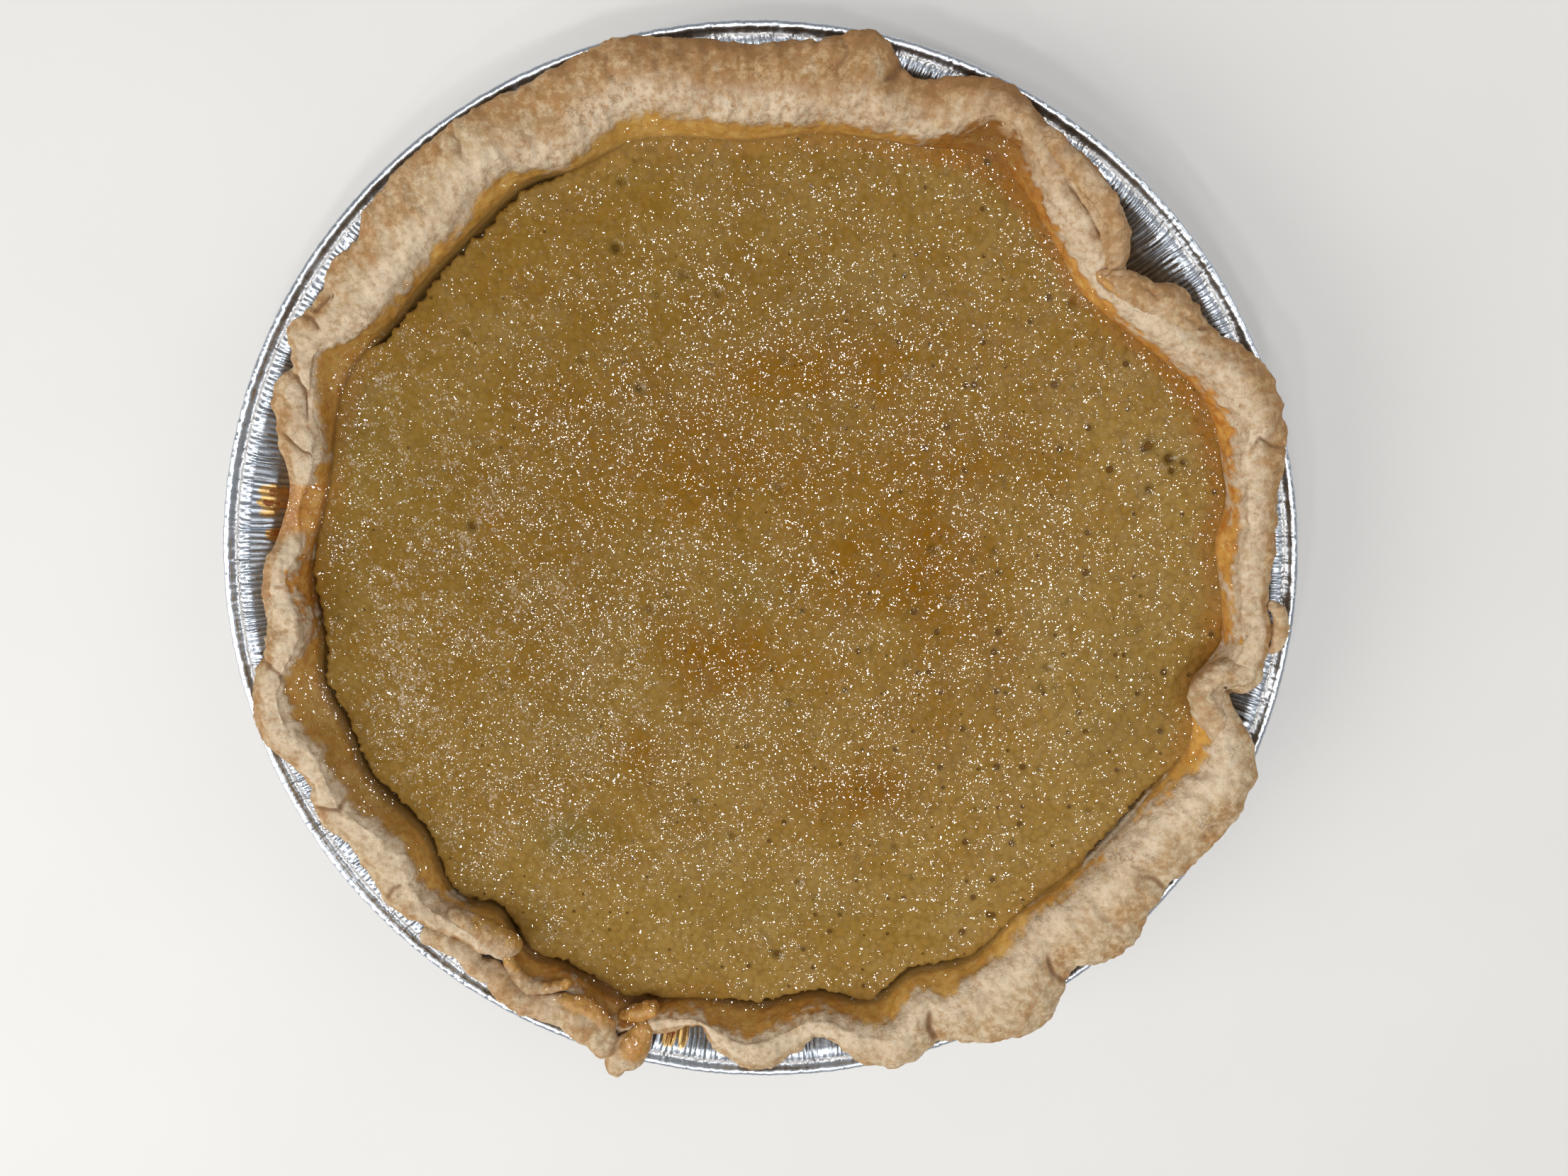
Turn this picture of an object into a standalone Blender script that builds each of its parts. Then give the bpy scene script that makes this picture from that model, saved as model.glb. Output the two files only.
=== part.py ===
"""Sugar pie baked in its own pleated foil tin: the tin, the crust and the filling, each one solid.

Blender works in metres with +Z up. The origin is the centre of the tin's base, on the surface that
the pie stands on. Sizes below are in millimetres and angles in degrees, counted from +X towards +Y.
"""
import math

import bmesh
import bpy
import numpy as np

MM = 0.001

# The tin, a nine inch foil pie plate
TIN_RADIUS = 114.0            # outside of the rolled bead
TIN_WALL = 0.5                # thickness of the pressed foil with its pleats
BASE_RADIUS = 83.6            # flat part of the base
CORNER = (86.0, 1.3)          # where the pleated wall starts, radius and height
SHOULDER = (104.3, 26.0)      # where the wall bends out into the shallow rim band
STEP = (105.3, 26.8)          # rounded edge of that bend
RIDGE = (110.3, 29.9)         # bright edge between the band and the channel
CHANNEL = (111.3, 29.1)       # bottom of the groove behind the bead
BEAD_RADIUS = 0.95
BEAD_HEIGHT = 30.2
BEAD_ARC = (215.0, 285.0, 345.0, 45.0, 105.0, 150.0)
FLUTES = 60
FLUTE_DEPTH = 0.35            # how far a flute stands to each side of the wall

# Room between touching pieces
GAP = 0.35

# The crust
CRUST_FLOOR = 4.1             # thickness of the pastry under the filling
FLOOR_RADIUS = 78.0
LEAVES_TIN = 21.0             # height at which the pastry leaves the tin's wall
WIDEST = 33.2                 # height at which the rolled edge is widest
AMBER_HEIGHT = 31.6           # top of the syrup soaked slope
COLUMN_SPACING = 4.2

# The filling
FILLING_EDGE_HEIGHT = 26.2
FILLING_DISH = 0.7            # how far the middle lies below the highest ring
FILLING_SWELL = 0.9           # how far that ring stands above the edge

# Outline of the rolled edge, seen from above: its peaks and valleys, angle and radius
OUTER_EDGE = (
    (0, 106.5), (10, 108.5), (17, 112), (22.5, 113.5), (27, 111), (31.5, 106.8), (36, 106), (41.5, 98.5),
    (45, 104), (49, 107.3), (57, 109), (64, 112.5), (69, 109.5), (73, 107), (78, 113), (87, 108.5),
    (95, 109.5), (104, 113), (114, 110), (121, 111.5), (134, 109.5), (138, 106.5), (141, 108),
    (145, 106.7), (149.5, 109.5), (153, 105.5), (156, 107.3), (161.5, 103.5), (168, 100.4), (173, 101.8),
    (180, 104), (184, 103.6), (190, 109), (195, 111.5), (203, 106.5), (207, 108), (213, 105.8),
    (220, 107.5), (226, 105), (231, 102.6), (235.4, 101.6), (239.5, 106), (243.5, 103), (247, 103.4),
    (252, 107.6), (258, 104.6), (262.2, 100.8), (265, 105.6), (270, 109.5), (278, 103), (283, 111.5),
    (287, 113), (291.5, 109.8), (296, 114), (303, 117.5), (307, 112.8), (310, 109), (314, 113),
    (317, 113.6), (324, 110.5), (331, 113.3), (339, 114), (343.5, 110.5), (347.5, 103), (352, 109.5),
    (356, 112))

# Upper edge of the syrup soaked slope
AMBER_EDGE = (
    (2, 98.2), (10, 100.5), (16, 101), (20, 103.6), (31, 97.5), (38, 93), (44, 91.5), (52, 95), (63, 105),
    (70, 97.8), (80, 95.8), (92, 94.5), (104, 98.5), (113, 94.8), (120.5, 98.3), (128, 95.3),
    (142, 95.3), (152, 101.5), (160, 96.2), (169.5, 97.5), (177, 98.5), (184, 97.2), (193, 103.5),
    (200, 100), (206, 101), (216, 96.6), (223, 99.9), (232, 98.1), (239.5, 103.2), (244, 100.6),
    (252, 105.4), (258, 100.2), (261.5, 98.8), (268, 101.6), (277, 97.6), (286, 102.4), (292, 97.6),
    (295, 100.5), (303, 98.8), (311, 95.4), (318, 96.8), (323, 96.2), (334, 99), (341, 103), (348, 97),
    (355, 100.5))

# Outline of the filling
FILLING_EDGE = (
    (0, 98), (6, 96.5), (13, 100.2), (22, 100.5), (34, 93.5), (43, 90), (50, 93), (62, 99), (72, 95),
    (82, 93.2), (91, 91), (105, 94), (112, 93), (118.5, 95), (130, 93), (141, 92.7), (152, 95.5),
    (167, 92.8), (178, 95.5), (186, 95), (192, 97), (200, 95.5), (205, 96), (216, 93), (226, 98.2),
    (231.6, 94.5), (239, 99.6), (243, 98.2), (252.2, 100.8), (262, 96.4), (269, 97.2), (277.5, 95),
    (285, 99.3), (292, 95.2), (299, 97.6), (309.5, 94), (320, 95.3), (331, 96.6), (340, 99.4), (348, 95.2),
    (354, 99.4))

# Height of the rolled edge along its crest
CREST = (
    (0, 36), (10, 36.3), (22, 37.5), (33, 36), (41, 34.5), (48, 36), (62, 37.6), (72, 34.8), (78, 37),
    (90, 36), (104, 37.6), (114, 36), (121, 37), (134, 35.5), (145, 34.6), (153, 35), (161, 33.4),
    (167, 30.9), (171.5, 30.9), (177, 34.3), (187, 35.4), (195, 37.2), (205, 36), (215, 35.4),
    (226, 36), (232.5, 35.8), (237, 33.2), (248, 32.2), (256, 32.4), (261, 33), (270, 36),
    (277, 34.6), (287, 37), (292, 35.4), (303, 38), (310, 35.4), (316, 37), (325, 36), (339, 37.5),
    (347, 35), (355, 36.5))

# Folds and torn pieces of pastry that lie over the rolled edge: along each one, the angle, the
# radius and height of its middle, and half its width and half its depth
TORN_FLAP = (
    (226.2, 106.5, 34.5, 2.1, 1.9), (230.7, 104.4, 34.6, 2.9, 2.5), (234.6, 104.9, 34.5, 2.8, 2.5),
    (237.6, 106.8, 34.3, 2.4, 2.4), (240.2, 107.8, 34.2, 2.5, 2.3), (243.0, 106.3, 34.2, 2.8, 2.4),
    (246.2, 104.7, 34.2, 3.7, 2.5), (249.0, 104.8, 34.4, 4.7, 2.6), (251.6, 107.8, 34.3, 3.8, 2.4))
TORN_TIP = (
    (255.3, 104.9, 32.6, 2.1, 1.8), (255.0, 108.2, 33.2, 3.1, 2.0), (254.5, 111.6, 33.6, 3.5, 2.1),
    (254.4, 114.4, 33.6, 2.6, 1.9))
GLAZED_BIT = (
    (252.0, 104.8, 30.8, 1.5, 1.7), (254.0, 102.3, 31.1, 2.0, 1.9), (256.0, 99.6, 31.4, 1.7, 1.8))
ROLL_END = (
    (227.0, 100.0, 33.4, 2.6, 2.5), (230.6, 99.0, 33.4, 3.2, 2.9), (233.4, 98.1, 33.3, 3.5, 3.0),
    (235.5, 97.2, 33.1, 2.9, 2.7))
HEAD_OF_S_FOLD = (
    (345.6, 99.0, 34.6, 1.9, 2.2), (347.0, 97.0, 34.8, 2.4, 2.7), (349.6, 96.3, 35.0, 2.6, 3.0),
    (351.4, 98.4, 35.2, 2.6, 2.9), (351.2, 101.2, 35.2, 2.3, 2.6), (350.2, 103.2, 34.8, 1.6, 1.9))
LOWER_FOLD = (
    (43.6, 95.2, 34.2, 1.6, 1.8), (41.6, 96.6, 34.9, 2.4, 2.5), (39.0, 98.6, 35.2, 2.7, 2.7),
    (36.2, 101.8, 35.4, 2.9, 2.7), (32.6, 103.6, 35.4, 2.6, 2.3))
UPPER_FOLD = (
    (43.9, 98.0, 34.8, 1.9, 2.0), (46.2, 101.4, 35.6, 2.7, 2.5), (49.6, 104.0, 36.0, 2.8, 2.6),
    (54.0, 105.4, 36.4, 2.6, 2.2), (58.4, 107.0, 36.4, 2.0, 1.6))
CURLED_FLAKE = (
    (358.9, 107.6, 36.2, 1.0, 0.9), (357.4, 109.2, 36.6, 1.4, 1.2), (355.2, 110.2, 36.6, 1.2, 1.1))
FOLDS = (TORN_FLAP, TORN_TIP, GLAZED_BIT, ROLL_END, HEAD_OF_S_FOLD, LOWER_FOLD, UPPER_FOLD,
         CURLED_FLAKE)
FOLD_SIDES = 8


def closed_curve(extremes, angles):
    """Values at the angles, on a smooth closed curve through the extremes.

    Each stretch is a cubic. Its slope at a knot is the harmonic mean of the slopes to the two sides,
    and nil where those differ in sign, so a peak stays a peak.
    """
    knots, values = np.array(extremes, float).T
    knots = np.concatenate([knots[-2:] - 360, knots, knots[:3] + 360])
    values = np.concatenate([values[-2:], values, values[:3]])
    step = np.diff(knots)
    rise = np.diff(values) / step
    product = rise[1:] * rise[:-1]
    total = np.where(product > 0, rise[1:] + rise[:-1], 1.0)
    slope = np.concatenate([[0.0], np.where(product > 0, 2 * product / total, 0.0), [0.0]])
    at = np.searchsorted(knots, angles, side="right") - 1
    t = (angles - knots[at]) / step[at]
    return (values[at] * (1 + 2 * t) * (1 - t) ** 2 + values[at + 1] * t * t * (3 - 2 * t)
            + step[at] * (slope[at] * t * (1 - t) ** 2 - slope[at + 1] * t * t * (1 - t)))


def column_angles(extremes, widest):
    """The angle of each extreme, and evenly spaced ones between them, at most widest apart."""
    knots = [angle for angle, _ in extremes]
    angles = []
    for start, end in zip(knots, knots[1:] + [knots[0] + 360]):
        count = math.ceil((end - start) / widest)
        angles += [start + (end - start) * i / count for i in range(count)]
    return np.array(angles)


def turned(name, radius, height, angles):
    """A closed solid from rings of vertices, listed from the bottom's middle out, up and back in.

    radius and height hold a row for each ring and a column for each angle. One point closes the
    bottom, at the first ring's height, and one the top, at the last ring's.
    """
    rings, columns = radius.shape
    turn = np.radians(angles)
    grid = np.stack([radius * np.cos(turn), radius * np.sin(turn), height], axis=-1).reshape(-1, 3)
    poles = [[0, 0, height[0].mean()], [0, 0, height[-1].mean()]]
    points = np.concatenate([grid, poles]) * MM
    low, high = rings * columns, rings * columns + 1
    faces = []
    for column in range(columns):
        after = (column + 1) % columns
        faces.append((low, after, column))
        faces.append((high, (rings - 1) * columns + column, (rings - 1) * columns + after))
        for ring in range(rings - 1):
            first, second = ring * columns, (ring + 1) * columns
            faces.append((first + column, first + after, second + after, second + column))
    return mesh_object(name, points.tolist(), faces)


def mesh_object(name, points, faces):
    """A new object with every face split into triangles."""
    mesh = bpy.data.meshes.new(name)
    mesh.from_pydata(points, [], faces)
    shape = bmesh.new()
    shape.from_mesh(mesh)
    bmesh.ops.triangulate(shape, faces=shape.faces[:])
    shape.to_mesh(mesh)
    shape.free()
    piece = bpy.data.objects.new(name, mesh)
    bpy.context.scene.collection.objects.link(piece)
    return piece


def finish(piece, colour, roughness, metallic, crease):
    """Give a piece its material, and smooth shading with edges sharper than crease left sharp."""
    material = bpy.data.materials.new(piece.name)
    material.use_nodes = True
    shader = material.node_tree.nodes["Principled BSDF"]
    shader.inputs["Base Color"].default_value = (*colour, 1.0)
    shader.inputs["Roughness"].default_value = roughness
    shader.inputs["Metallic"].default_value = metallic
    piece.data.materials.clear()
    piece.data.materials.append(material)
    piece.data.shade_smooth()
    piece.data.set_sharp_from_angle(angle=math.radians(crease))


def offset(line, distance):
    """A line of (radius, height) points moved to its left by distance, its corners mitred."""
    points = np.array(line, float)
    along = np.diff(points, axis=0)
    along /= np.linalg.norm(along, axis=1)[:, None]
    side = np.stack([-along[:, 1], along[:, 0]], axis=1)
    before = np.concatenate([side[:1], side])
    after = np.concatenate([side, side[-1:]])
    mitre = before + after
    return points + distance * 2 * mitre / (mitre * mitre).sum(axis=1)[:, None]


def tin_line():
    """The middle of the foil's thickness from the flat base to the channel behind the bead."""
    return [(BASE_RADIUS, TIN_WALL / 2), CORNER, SHOULDER, STEP, RIDGE, CHANNEL]


def inside_tin(height):
    """Radius of the space inside the tin's pleated wall at a height, with the gap kept clear."""
    radii, heights = np.array([CORNER, SHOULDER, STEP, RIDGE]).T
    run = SHOULDER[0] - CORNER[0]
    climb = SHOULDER[1] - CORNER[1]
    sideways = math.hypot(run, climb) / climb
    return np.interp(height, heights, radii) - (TIN_WALL / 2 + FLUTE_DEPTH + GAP) * sideways


def make_tin():
    """The foil tin: a fluted wall between two smooth surfaces, closed by the rolled bead."""
    under = offset(tin_line(), -TIN_WALL / 2)
    over = offset(tin_line(), TIN_WALL / 2)
    under[0] = BASE_RADIUS, 0.0
    over[0] = BASE_RADIUS, TIN_WALL
    turn = np.radians(BEAD_ARC)
    middle = TIN_RADIUS - BEAD_RADIUS
    bead = np.stack([middle + BEAD_RADIUS * np.cos(turn), BEAD_HEIGHT + BEAD_RADIUS * np.sin(turn)], 1)
    section = np.concatenate([under, bead, over[::-1]])
    angles = np.arange(2 * FLUTES) * 180.0 / FLUTES
    pleated = [0.0, 1.0, 1.0, 1.0, 0.0, 0.0]
    share = np.array(pleated + [0.0] * len(bead) + pleated[::-1])[:, None]
    fluted = share * FLUTE_DEPTH * np.where(np.arange(2 * FLUTES) % 2, 1.0, -1.0)
    slope = math.atan2(SHOULDER[1] - CORNER[1], SHOULDER[0] - CORNER[0])
    radius = section[:, :1] + fluted * math.sin(slope)
    height = section[:, 1:] - fluted * math.cos(slope)
    piece = turned("tin", radius, height, angles)
    finish(piece, (0.78, 0.79, 0.80), 0.28, 1.0, 30)


def pastry_inside(angles):
    """The buried inner side of the crust, from the filling's edge down to the floor, ring by ring."""
    edge = closed_curve(FILLING_EDGE, angles) + GAP
    floor = TIN_WALL + GAP + CRUST_FLOOR
    return [(np.minimum(edge, inside_tin(24.0) - 2.6), 24.0),
            (np.minimum(edge - 2.0, 93.0), 15.0),
            (np.full_like(edge, 82.4), floor + 1.8),
            (np.full_like(edge, FLOOR_RADIUS + 1.0), floor)]


def spline(points, count):
    """Rows on a clamped cubic spline whose control points are given one array for each."""
    net = np.array(points)
    pieces = len(net) - 3
    knots = np.concatenate([[0.0] * 3, np.arange(pieces + 1), [pieces] * 3])
    at = np.linspace(0, pieces, count)
    at[-1] -= 1e-9
    weight = ((knots[:-1] <= at[:, None]) & (at[:, None] < knots[1:])).astype(float)
    for degree in (1, 2, 3):
        spans = knots[degree:] - knots[:-degree]
        spans = np.where(spans > 0, spans, 1.0)
        rising = (at[:, None] - knots[:-degree]) / spans
        weight = (weight[:, :-1] * rising[:, :-1]
                  + weight[:, 1:] * (1 - rising[:, 1:]))
    return np.tensordot(weight, net, axes=1)


def lumps(angles, rows):
    """Low swellings and hollows of the pastry, from three waves that cross each other."""
    turn = np.radians(angles)[None, :]
    across = np.linspace(0, 1, rows)[:, None]
    swelling = (np.sin(23 * turn + 5 * across) + np.sin(37 * turn - 7 * across + 1.3)
                + 0.8 * np.sin(51 * turn + 11 * across + 4.1))
    return swelling * np.sin(math.pi * across) ** 0.5 * 0.22


def rolled_edge(angles, rows):
    """The visible pastry, from the tin's wall up over the crest and down to the filling.

    Its section is a spline. The edge stays inside the tin's wall below the rim and above the bead
    outside it.
    """
    outer = closed_curve(OUTER_EDGE, angles)
    amber = closed_curve(AMBER_EDGE, angles)
    crest = closed_curve(CREST, angles)
    edge = closed_curve(FILLING_EDGE, angles) + GAP
    low = np.minimum(crest - 32.0, 4.0) / 4.0
    width = outer - amber
    middle = outer - np.minimum(2.4 + 0.35 * width, 0.65 * width)
    broad = np.minimum(width / 8.0, 1.0)
    wall = inside_tin(LEAVES_TIN)
    fill = np.ones_like(outer)
    net = [(wall * fill, LEAVES_TIN * fill),
           (np.minimum(outer - 1.4, inside_tin(25.5) - 0.7), 25.5 * fill),
           (np.minimum(outer - 0.6, RIDGE[0] - 3.8), 30.4 * fill),
           (np.minimum(outer + 0.2, RIDGE[0] + 0.3), np.minimum(WIDEST - 0.4, crest - 1.4)),
           (outer + 0.5, np.minimum(WIDEST + 0.3, crest - 0.6)),
           (outer - 0.4, np.minimum(WIDEST + 2.2, crest - 0.2)),
           (middle + 1.8 * broad, crest + 0.7),
           (middle - 2.2 * broad, crest + 0.5),
           (0.45 * middle + 0.55 * amber - 0.6 * broad, 0.5 * crest + 0.5 * AMBER_HEIGHT + 1.2 * low),
           (amber, np.minimum(AMBER_HEIGHT, crest - 0.9)),
           (0.65 * edge + 0.35 * amber, 28.2 * fill),
           (edge + 0.9, 26.7 * fill),
           (edge + 0.15, 25.9 * fill),
           (np.minimum(edge, inside_tin(24.0) - 2.6), 24.0 * fill)]
    radius = spline([row[0] for row in net], rows)
    height = spline([row[1] for row in net], rows)
    relief = lumps(angles, rows)
    outward = np.linspace(0.9, -0.9, rows)[:, None]
    above = np.clip((height - 32.4) / 2.0, 0, 1)
    return radius + relief * outward * above, height + relief * above


def make_crust():
    """The pastry case with its rolled edge, and the folds and torn pieces fused to it."""
    angles = column_angles(OUTER_EDGE, COLUMN_SPACING)
    fill = np.ones_like(angles)
    under = TIN_WALL + GAP
    low = [(FLOOR_RADIUS * fill, under * fill),
           ((BASE_RADIUS - 1.2) * fill, under * fill),
           ((inside_tin(3.0) - 0.2) * fill, 3.0 * fill),
           (inside_tin(12.0) * fill, 12.0 * fill)]
    edge_radius, edge_height = rolled_edge(angles, 17)
    inside = [(radius, height * fill) for radius, height in pastry_inside(angles)][1:]
    radius = np.concatenate([[r for r, _ in low], edge_radius, [r for r, _ in inside]])
    height = np.concatenate([[z for _, z in low], edge_height, [z for _, z in inside]])
    piece = turned("crust", radius, height, angles)
    fuse(piece, [fold(f"fold_{i}", stations) for i, stations in enumerate(FOLDS)])
    finish(piece, (0.62, 0.42, 0.24), 0.75, 0.0, 60)


def fold(name, stations):
    """A rope of pastry with elliptical sections, its route and sizes smoothed between the stations."""
    table = np.array(stations)
    turn = np.radians(table[:, 0])
    table = np.column_stack([table[:, 1] * np.cos(turn), table[:, 1] * np.sin(turn), table[:, 2:]])
    ends = np.concatenate([table[:1], table, table[-1:]])
    halfway = (9 * (ends[1:-2] + ends[2:-1]) - ends[:-3] - ends[3:]) / 16
    route = np.empty((2 * len(table) - 1, table.shape[1]))
    route[::2] = table
    route[1::2] = halfway
    middle, width, depth = route[:, :3], route[:, 3:4], route[:, 4:5]
    along = np.gradient(middle, axis=0)
    along /= np.linalg.norm(along, axis=1)[:, None]
    side = np.cross(along, (0, 0, 1))
    side /= np.linalg.norm(side, axis=1)[:, None]
    up = np.cross(side, along)
    around = np.arange(FOLD_SIDES) * 2 * math.pi / FOLD_SIDES
    rings = (middle[:, None] + (width * side)[:, None] * np.cos(around)[None, :, None]
             + (depth * up)[:, None] * np.sin(around)[None, :, None])
    tips = [middle[0] - along[0] * width[0] * 0.7, middle[-1] + along[-1] * width[-1] * 0.7]
    points = np.concatenate([rings.reshape(-1, 3), tips]) * MM
    count = len(route)
    start, end = count * FOLD_SIDES, count * FOLD_SIDES + 1
    faces = []
    for corner in range(FOLD_SIDES):
        after = (corner + 1) % FOLD_SIDES
        faces.append((start, corner, after))
        last = (count - 1) * FOLD_SIDES
        faces.append((end, last + after, last + corner))
        for ring in range(count - 1):
            first, second = ring * FOLD_SIDES, (ring + 1) * FOLD_SIDES
            faces.append((first + corner, second + corner, second + after, first + after))
    return mesh_object(name, points.tolist(), faces)


def fuse(piece, others):
    """Join closed solids to a piece with one Boolean union, and remove what was joined."""
    group = bpy.data.collections.new("fused")
    for other in others:
        group.objects.link(other)
    union = piece.modifiers.new("union", "BOOLEAN")
    union.operation = "UNION"
    union.operand_type = "COLLECTION"
    union.collection = group
    union.solver = "EXACT"
    union.use_self = False
    evaluated = piece.evaluated_get(bpy.context.evaluated_depsgraph_get())
    whole = bpy.data.meshes.new_from_object(evaluated)
    piece.modifiers.remove(union)
    piece.data = whole
    for other in others:
        bpy.data.objects.remove(other, do_unlink=True)
    bpy.data.collections.remove(group)
    shape = bmesh.new()
    shape.from_mesh(whole)
    bmesh.ops.remove_doubles(shape, verts=shape.verts[:], dist=0.00002)
    bmesh.ops.triangulate(shape, faces=shape.faces[:])
    shape.to_mesh(whole)
    shape.free()


def make_filling():
    """The baked filling down to the crust's floor, its top slightly dished and uneven."""
    angles = column_angles(OUTER_EDGE, COLUMN_SPACING)
    edge = closed_curve(FILLING_EDGE, angles)
    sides = [(radius - GAP - 0.25, height) for radius, height in pastry_inside(angles)]
    bottom = TIN_WALL + 2 * GAP + CRUST_FLOOR
    fill = np.ones_like(edge)
    rings = [(sides[3][0] - 1.0, bottom * fill),
             (sides[2][0], (sides[2][1] + 0.6) * fill),
             (sides[1][0], sides[1][1] * fill),
             (sides[0][0], sides[0][1] * fill)]
    turn = np.radians(angles)
    for share in (1.0, 0.975, 0.9, 0.72, 0.42):
        radius = (edge - 0.25) * share if share > 0.95 else share * (edge * share + 96 * (1 - share))
        swell = FILLING_SWELL * (1 - share ** 24) - FILLING_DISH * (1 - share) ** 1.5
        uneven = 0.25 * np.sin(3 * turn + 9 * share) + 0.18 * np.sin(7 * turn - 5 * share)
        rings.append((radius, FILLING_EDGE_HEIGHT + swell + uneven * (share < 1)))
    radius = np.array([r for r, _ in rings])
    height = np.array([z * fill for _, z in rings])
    piece = turned("filling", radius, height, angles)
    finish(piece, (0.36, 0.20, 0.065), 0.3, 0.0, 40)


def main():
    """Empty the scene and make the pie."""
    for old in list(bpy.data.objects):
        bpy.data.objects.remove(old, do_unlink=True)
    make_tin()
    make_crust()
    make_filling()


main()
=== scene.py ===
"""Looks of the sugar pie: foil tin, pastry and filling, each a surface worked out with numpy.

Sizes in the functions are millimetres and angles are degrees, counted from +X towards +Y. A mesh is
scaled to metres when it's made.
"""
import math

import bpy
import numpy as np
from mathutils import Matrix, Vector


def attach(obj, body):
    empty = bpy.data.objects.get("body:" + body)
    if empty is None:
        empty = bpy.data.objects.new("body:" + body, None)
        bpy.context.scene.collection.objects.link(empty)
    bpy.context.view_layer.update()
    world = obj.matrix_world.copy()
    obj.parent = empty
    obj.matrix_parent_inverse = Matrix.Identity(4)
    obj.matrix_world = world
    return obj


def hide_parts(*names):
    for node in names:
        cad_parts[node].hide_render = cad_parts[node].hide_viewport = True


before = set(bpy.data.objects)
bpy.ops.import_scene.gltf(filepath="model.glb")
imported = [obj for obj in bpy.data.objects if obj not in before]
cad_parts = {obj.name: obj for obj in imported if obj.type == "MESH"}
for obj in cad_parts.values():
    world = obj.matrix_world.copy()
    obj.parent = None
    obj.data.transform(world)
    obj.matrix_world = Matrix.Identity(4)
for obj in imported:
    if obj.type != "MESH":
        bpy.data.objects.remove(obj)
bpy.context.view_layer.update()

MM = 0.001

# ---------------------------------------------------------------- the part's named sizes, as in CAD
TIN_RADIUS = 114.0
TIN_WALL = 0.5
BASE_RADIUS = 83.6
CORNER = (86.0, 1.3)
SHOULDER = (104.3, 26.0)
STEP = (105.3, 26.8)
RIDGE = (110.3, 29.9)
CHANNEL = (111.3, 29.1)
BEAD_RADIUS = 0.95
BEAD_HEIGHT = 30.2
GAP = 0.35
CRUST_FLOOR = 4.1
FLOOR_RADIUS = 78.0
# Inside of the pastry: radius just above its floor, then radius and height half way up
HEEL_RADIUS = 82.4
HALFWAY = (93.0, 15.0)
LEAVES_TIN = 21.0
WIDEST = 33.2
AMBER_HEIGHT = 31.6
FILLING_EDGE_HEIGHT = 26.2
FILLING_DISH = 0.7
FILLING_SWELL = 0.9

OUTER_EDGE = (
    (0, 106.5), (10, 108.5), (17, 112), (22.5, 113.5), (27, 111), (31.5, 106.8), (36, 106), (41.5, 98.5),
    (45, 104), (49, 107.3), (57, 109), (64, 112.5), (69, 109.5), (73, 107), (78, 113), (87, 108.5),
    (95, 109.5), (104, 113), (114, 110), (121, 111.5), (134, 109.5), (138, 106.5), (141, 108),
    (145, 106.7), (149.5, 109.5), (153, 105.5), (156, 107.3), (161.5, 103.5), (168, 100.4), (173, 101.8),
    (180, 104), (184, 103.6), (190, 109), (195, 111.5), (203, 106.5), (207, 108), (213, 105.8),
    (220, 107.5), (226, 105), (231, 102.6), (235.4, 101.6), (239.5, 106), (243.5, 103), (247, 103.4),
    (252, 107.6), (258, 104.6), (262.2, 100.8), (265, 105.6), (270, 109.5), (278, 103), (283, 111.5),
    (287, 113), (291.5, 109.8), (296, 114), (303, 117.5), (307, 112.8), (310, 109), (314, 113),
    (317, 113.6), (324, 110.5), (331, 113.3), (339, 114), (343.5, 110.5), (347.5, 103), (351, 107.5),
    (356, 108.1))
AMBER_EDGE = (
    (2, 99.2), (10, 100.9), (16, 101), (20, 103.6), (31, 97.5), (38, 93.6), (44, 92.9), (52, 96.4),
    (63, 105), (70, 97.8), (80, 95.8), (92, 94.5), (104, 98.5), (113, 94.8), (120.5, 98.3), (128, 95.3),
    (142.5, 95.2), (150.5, 101), (156, 98.2), (162.5, 95.2), (169.5, 97.5), (174.5, 96), (177.3, 98.2),
    (184, 96.2), (193, 103.5), (200, 100), (206, 101), (216, 96.6), (223, 99.9), (232, 98.1),
    (239.5, 103.2), (244, 100.6), (252, 105.4), (258, 100.2), (261.5, 98.8), (268, 101.6), (277, 97.6),
    (286, 102.4), (292, 97.6), (295, 100.5), (303, 98.8), (311, 95.4), (318, 96.8), (323, 96.2), (334, 99),
    (341, 103), (348, 97), (355, 101.0))
FILLING_EDGE = (
    (0, 98), (6, 96.5), (13, 100.2), (22, 100.5), (34, 93.5), (43, 90), (50, 93), (62, 99), (72, 95),
    (82, 93.2), (91, 91), (105, 94), (112, 93), (118.5, 95), (130, 93), (141, 92.7), (152, 95.5),
    (167, 92.8), (178, 95.5), (186, 95), (192, 97), (200, 95.5), (205, 96), (216, 93), (226, 98.2),
    (231.6, 94.5), (239, 99.6), (243, 98.2), (252.2, 100.8), (262, 96.4), (269, 97.2), (277.5, 95),
    (285, 99.3), (292, 95.2), (299, 97.6), (309.5, 94), (320, 95.3), (331, 96.6), (340, 99.4), (348, 95.2),
    (354, 99.4))
CREST = (
    (0, 36), (10, 36.3), (22, 37.5), (33, 36), (41, 34.5), (48, 36), (62, 37.6), (72, 34.8), (78, 37),
    (90, 36), (104, 37.6), (114, 36), (121, 37), (134, 35.5), (145, 34.6), (153, 35), (161, 33.4),
    (167, 30.9), (171.5, 30.9), (177, 34.3), (187, 35.4), (195, 37.2), (205, 36), (215, 35.4), (226, 36),
    (232.5, 35.8), (237, 33.2), (248, 32.2), (256, 32.4), (261, 33), (270, 36), (277, 34.6), (287, 37),
    (292, 35.4), (303, 38), (310, 35.4), (316, 37), (325, 36), (339, 37.5), (347, 35), (355, 36.5))

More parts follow.
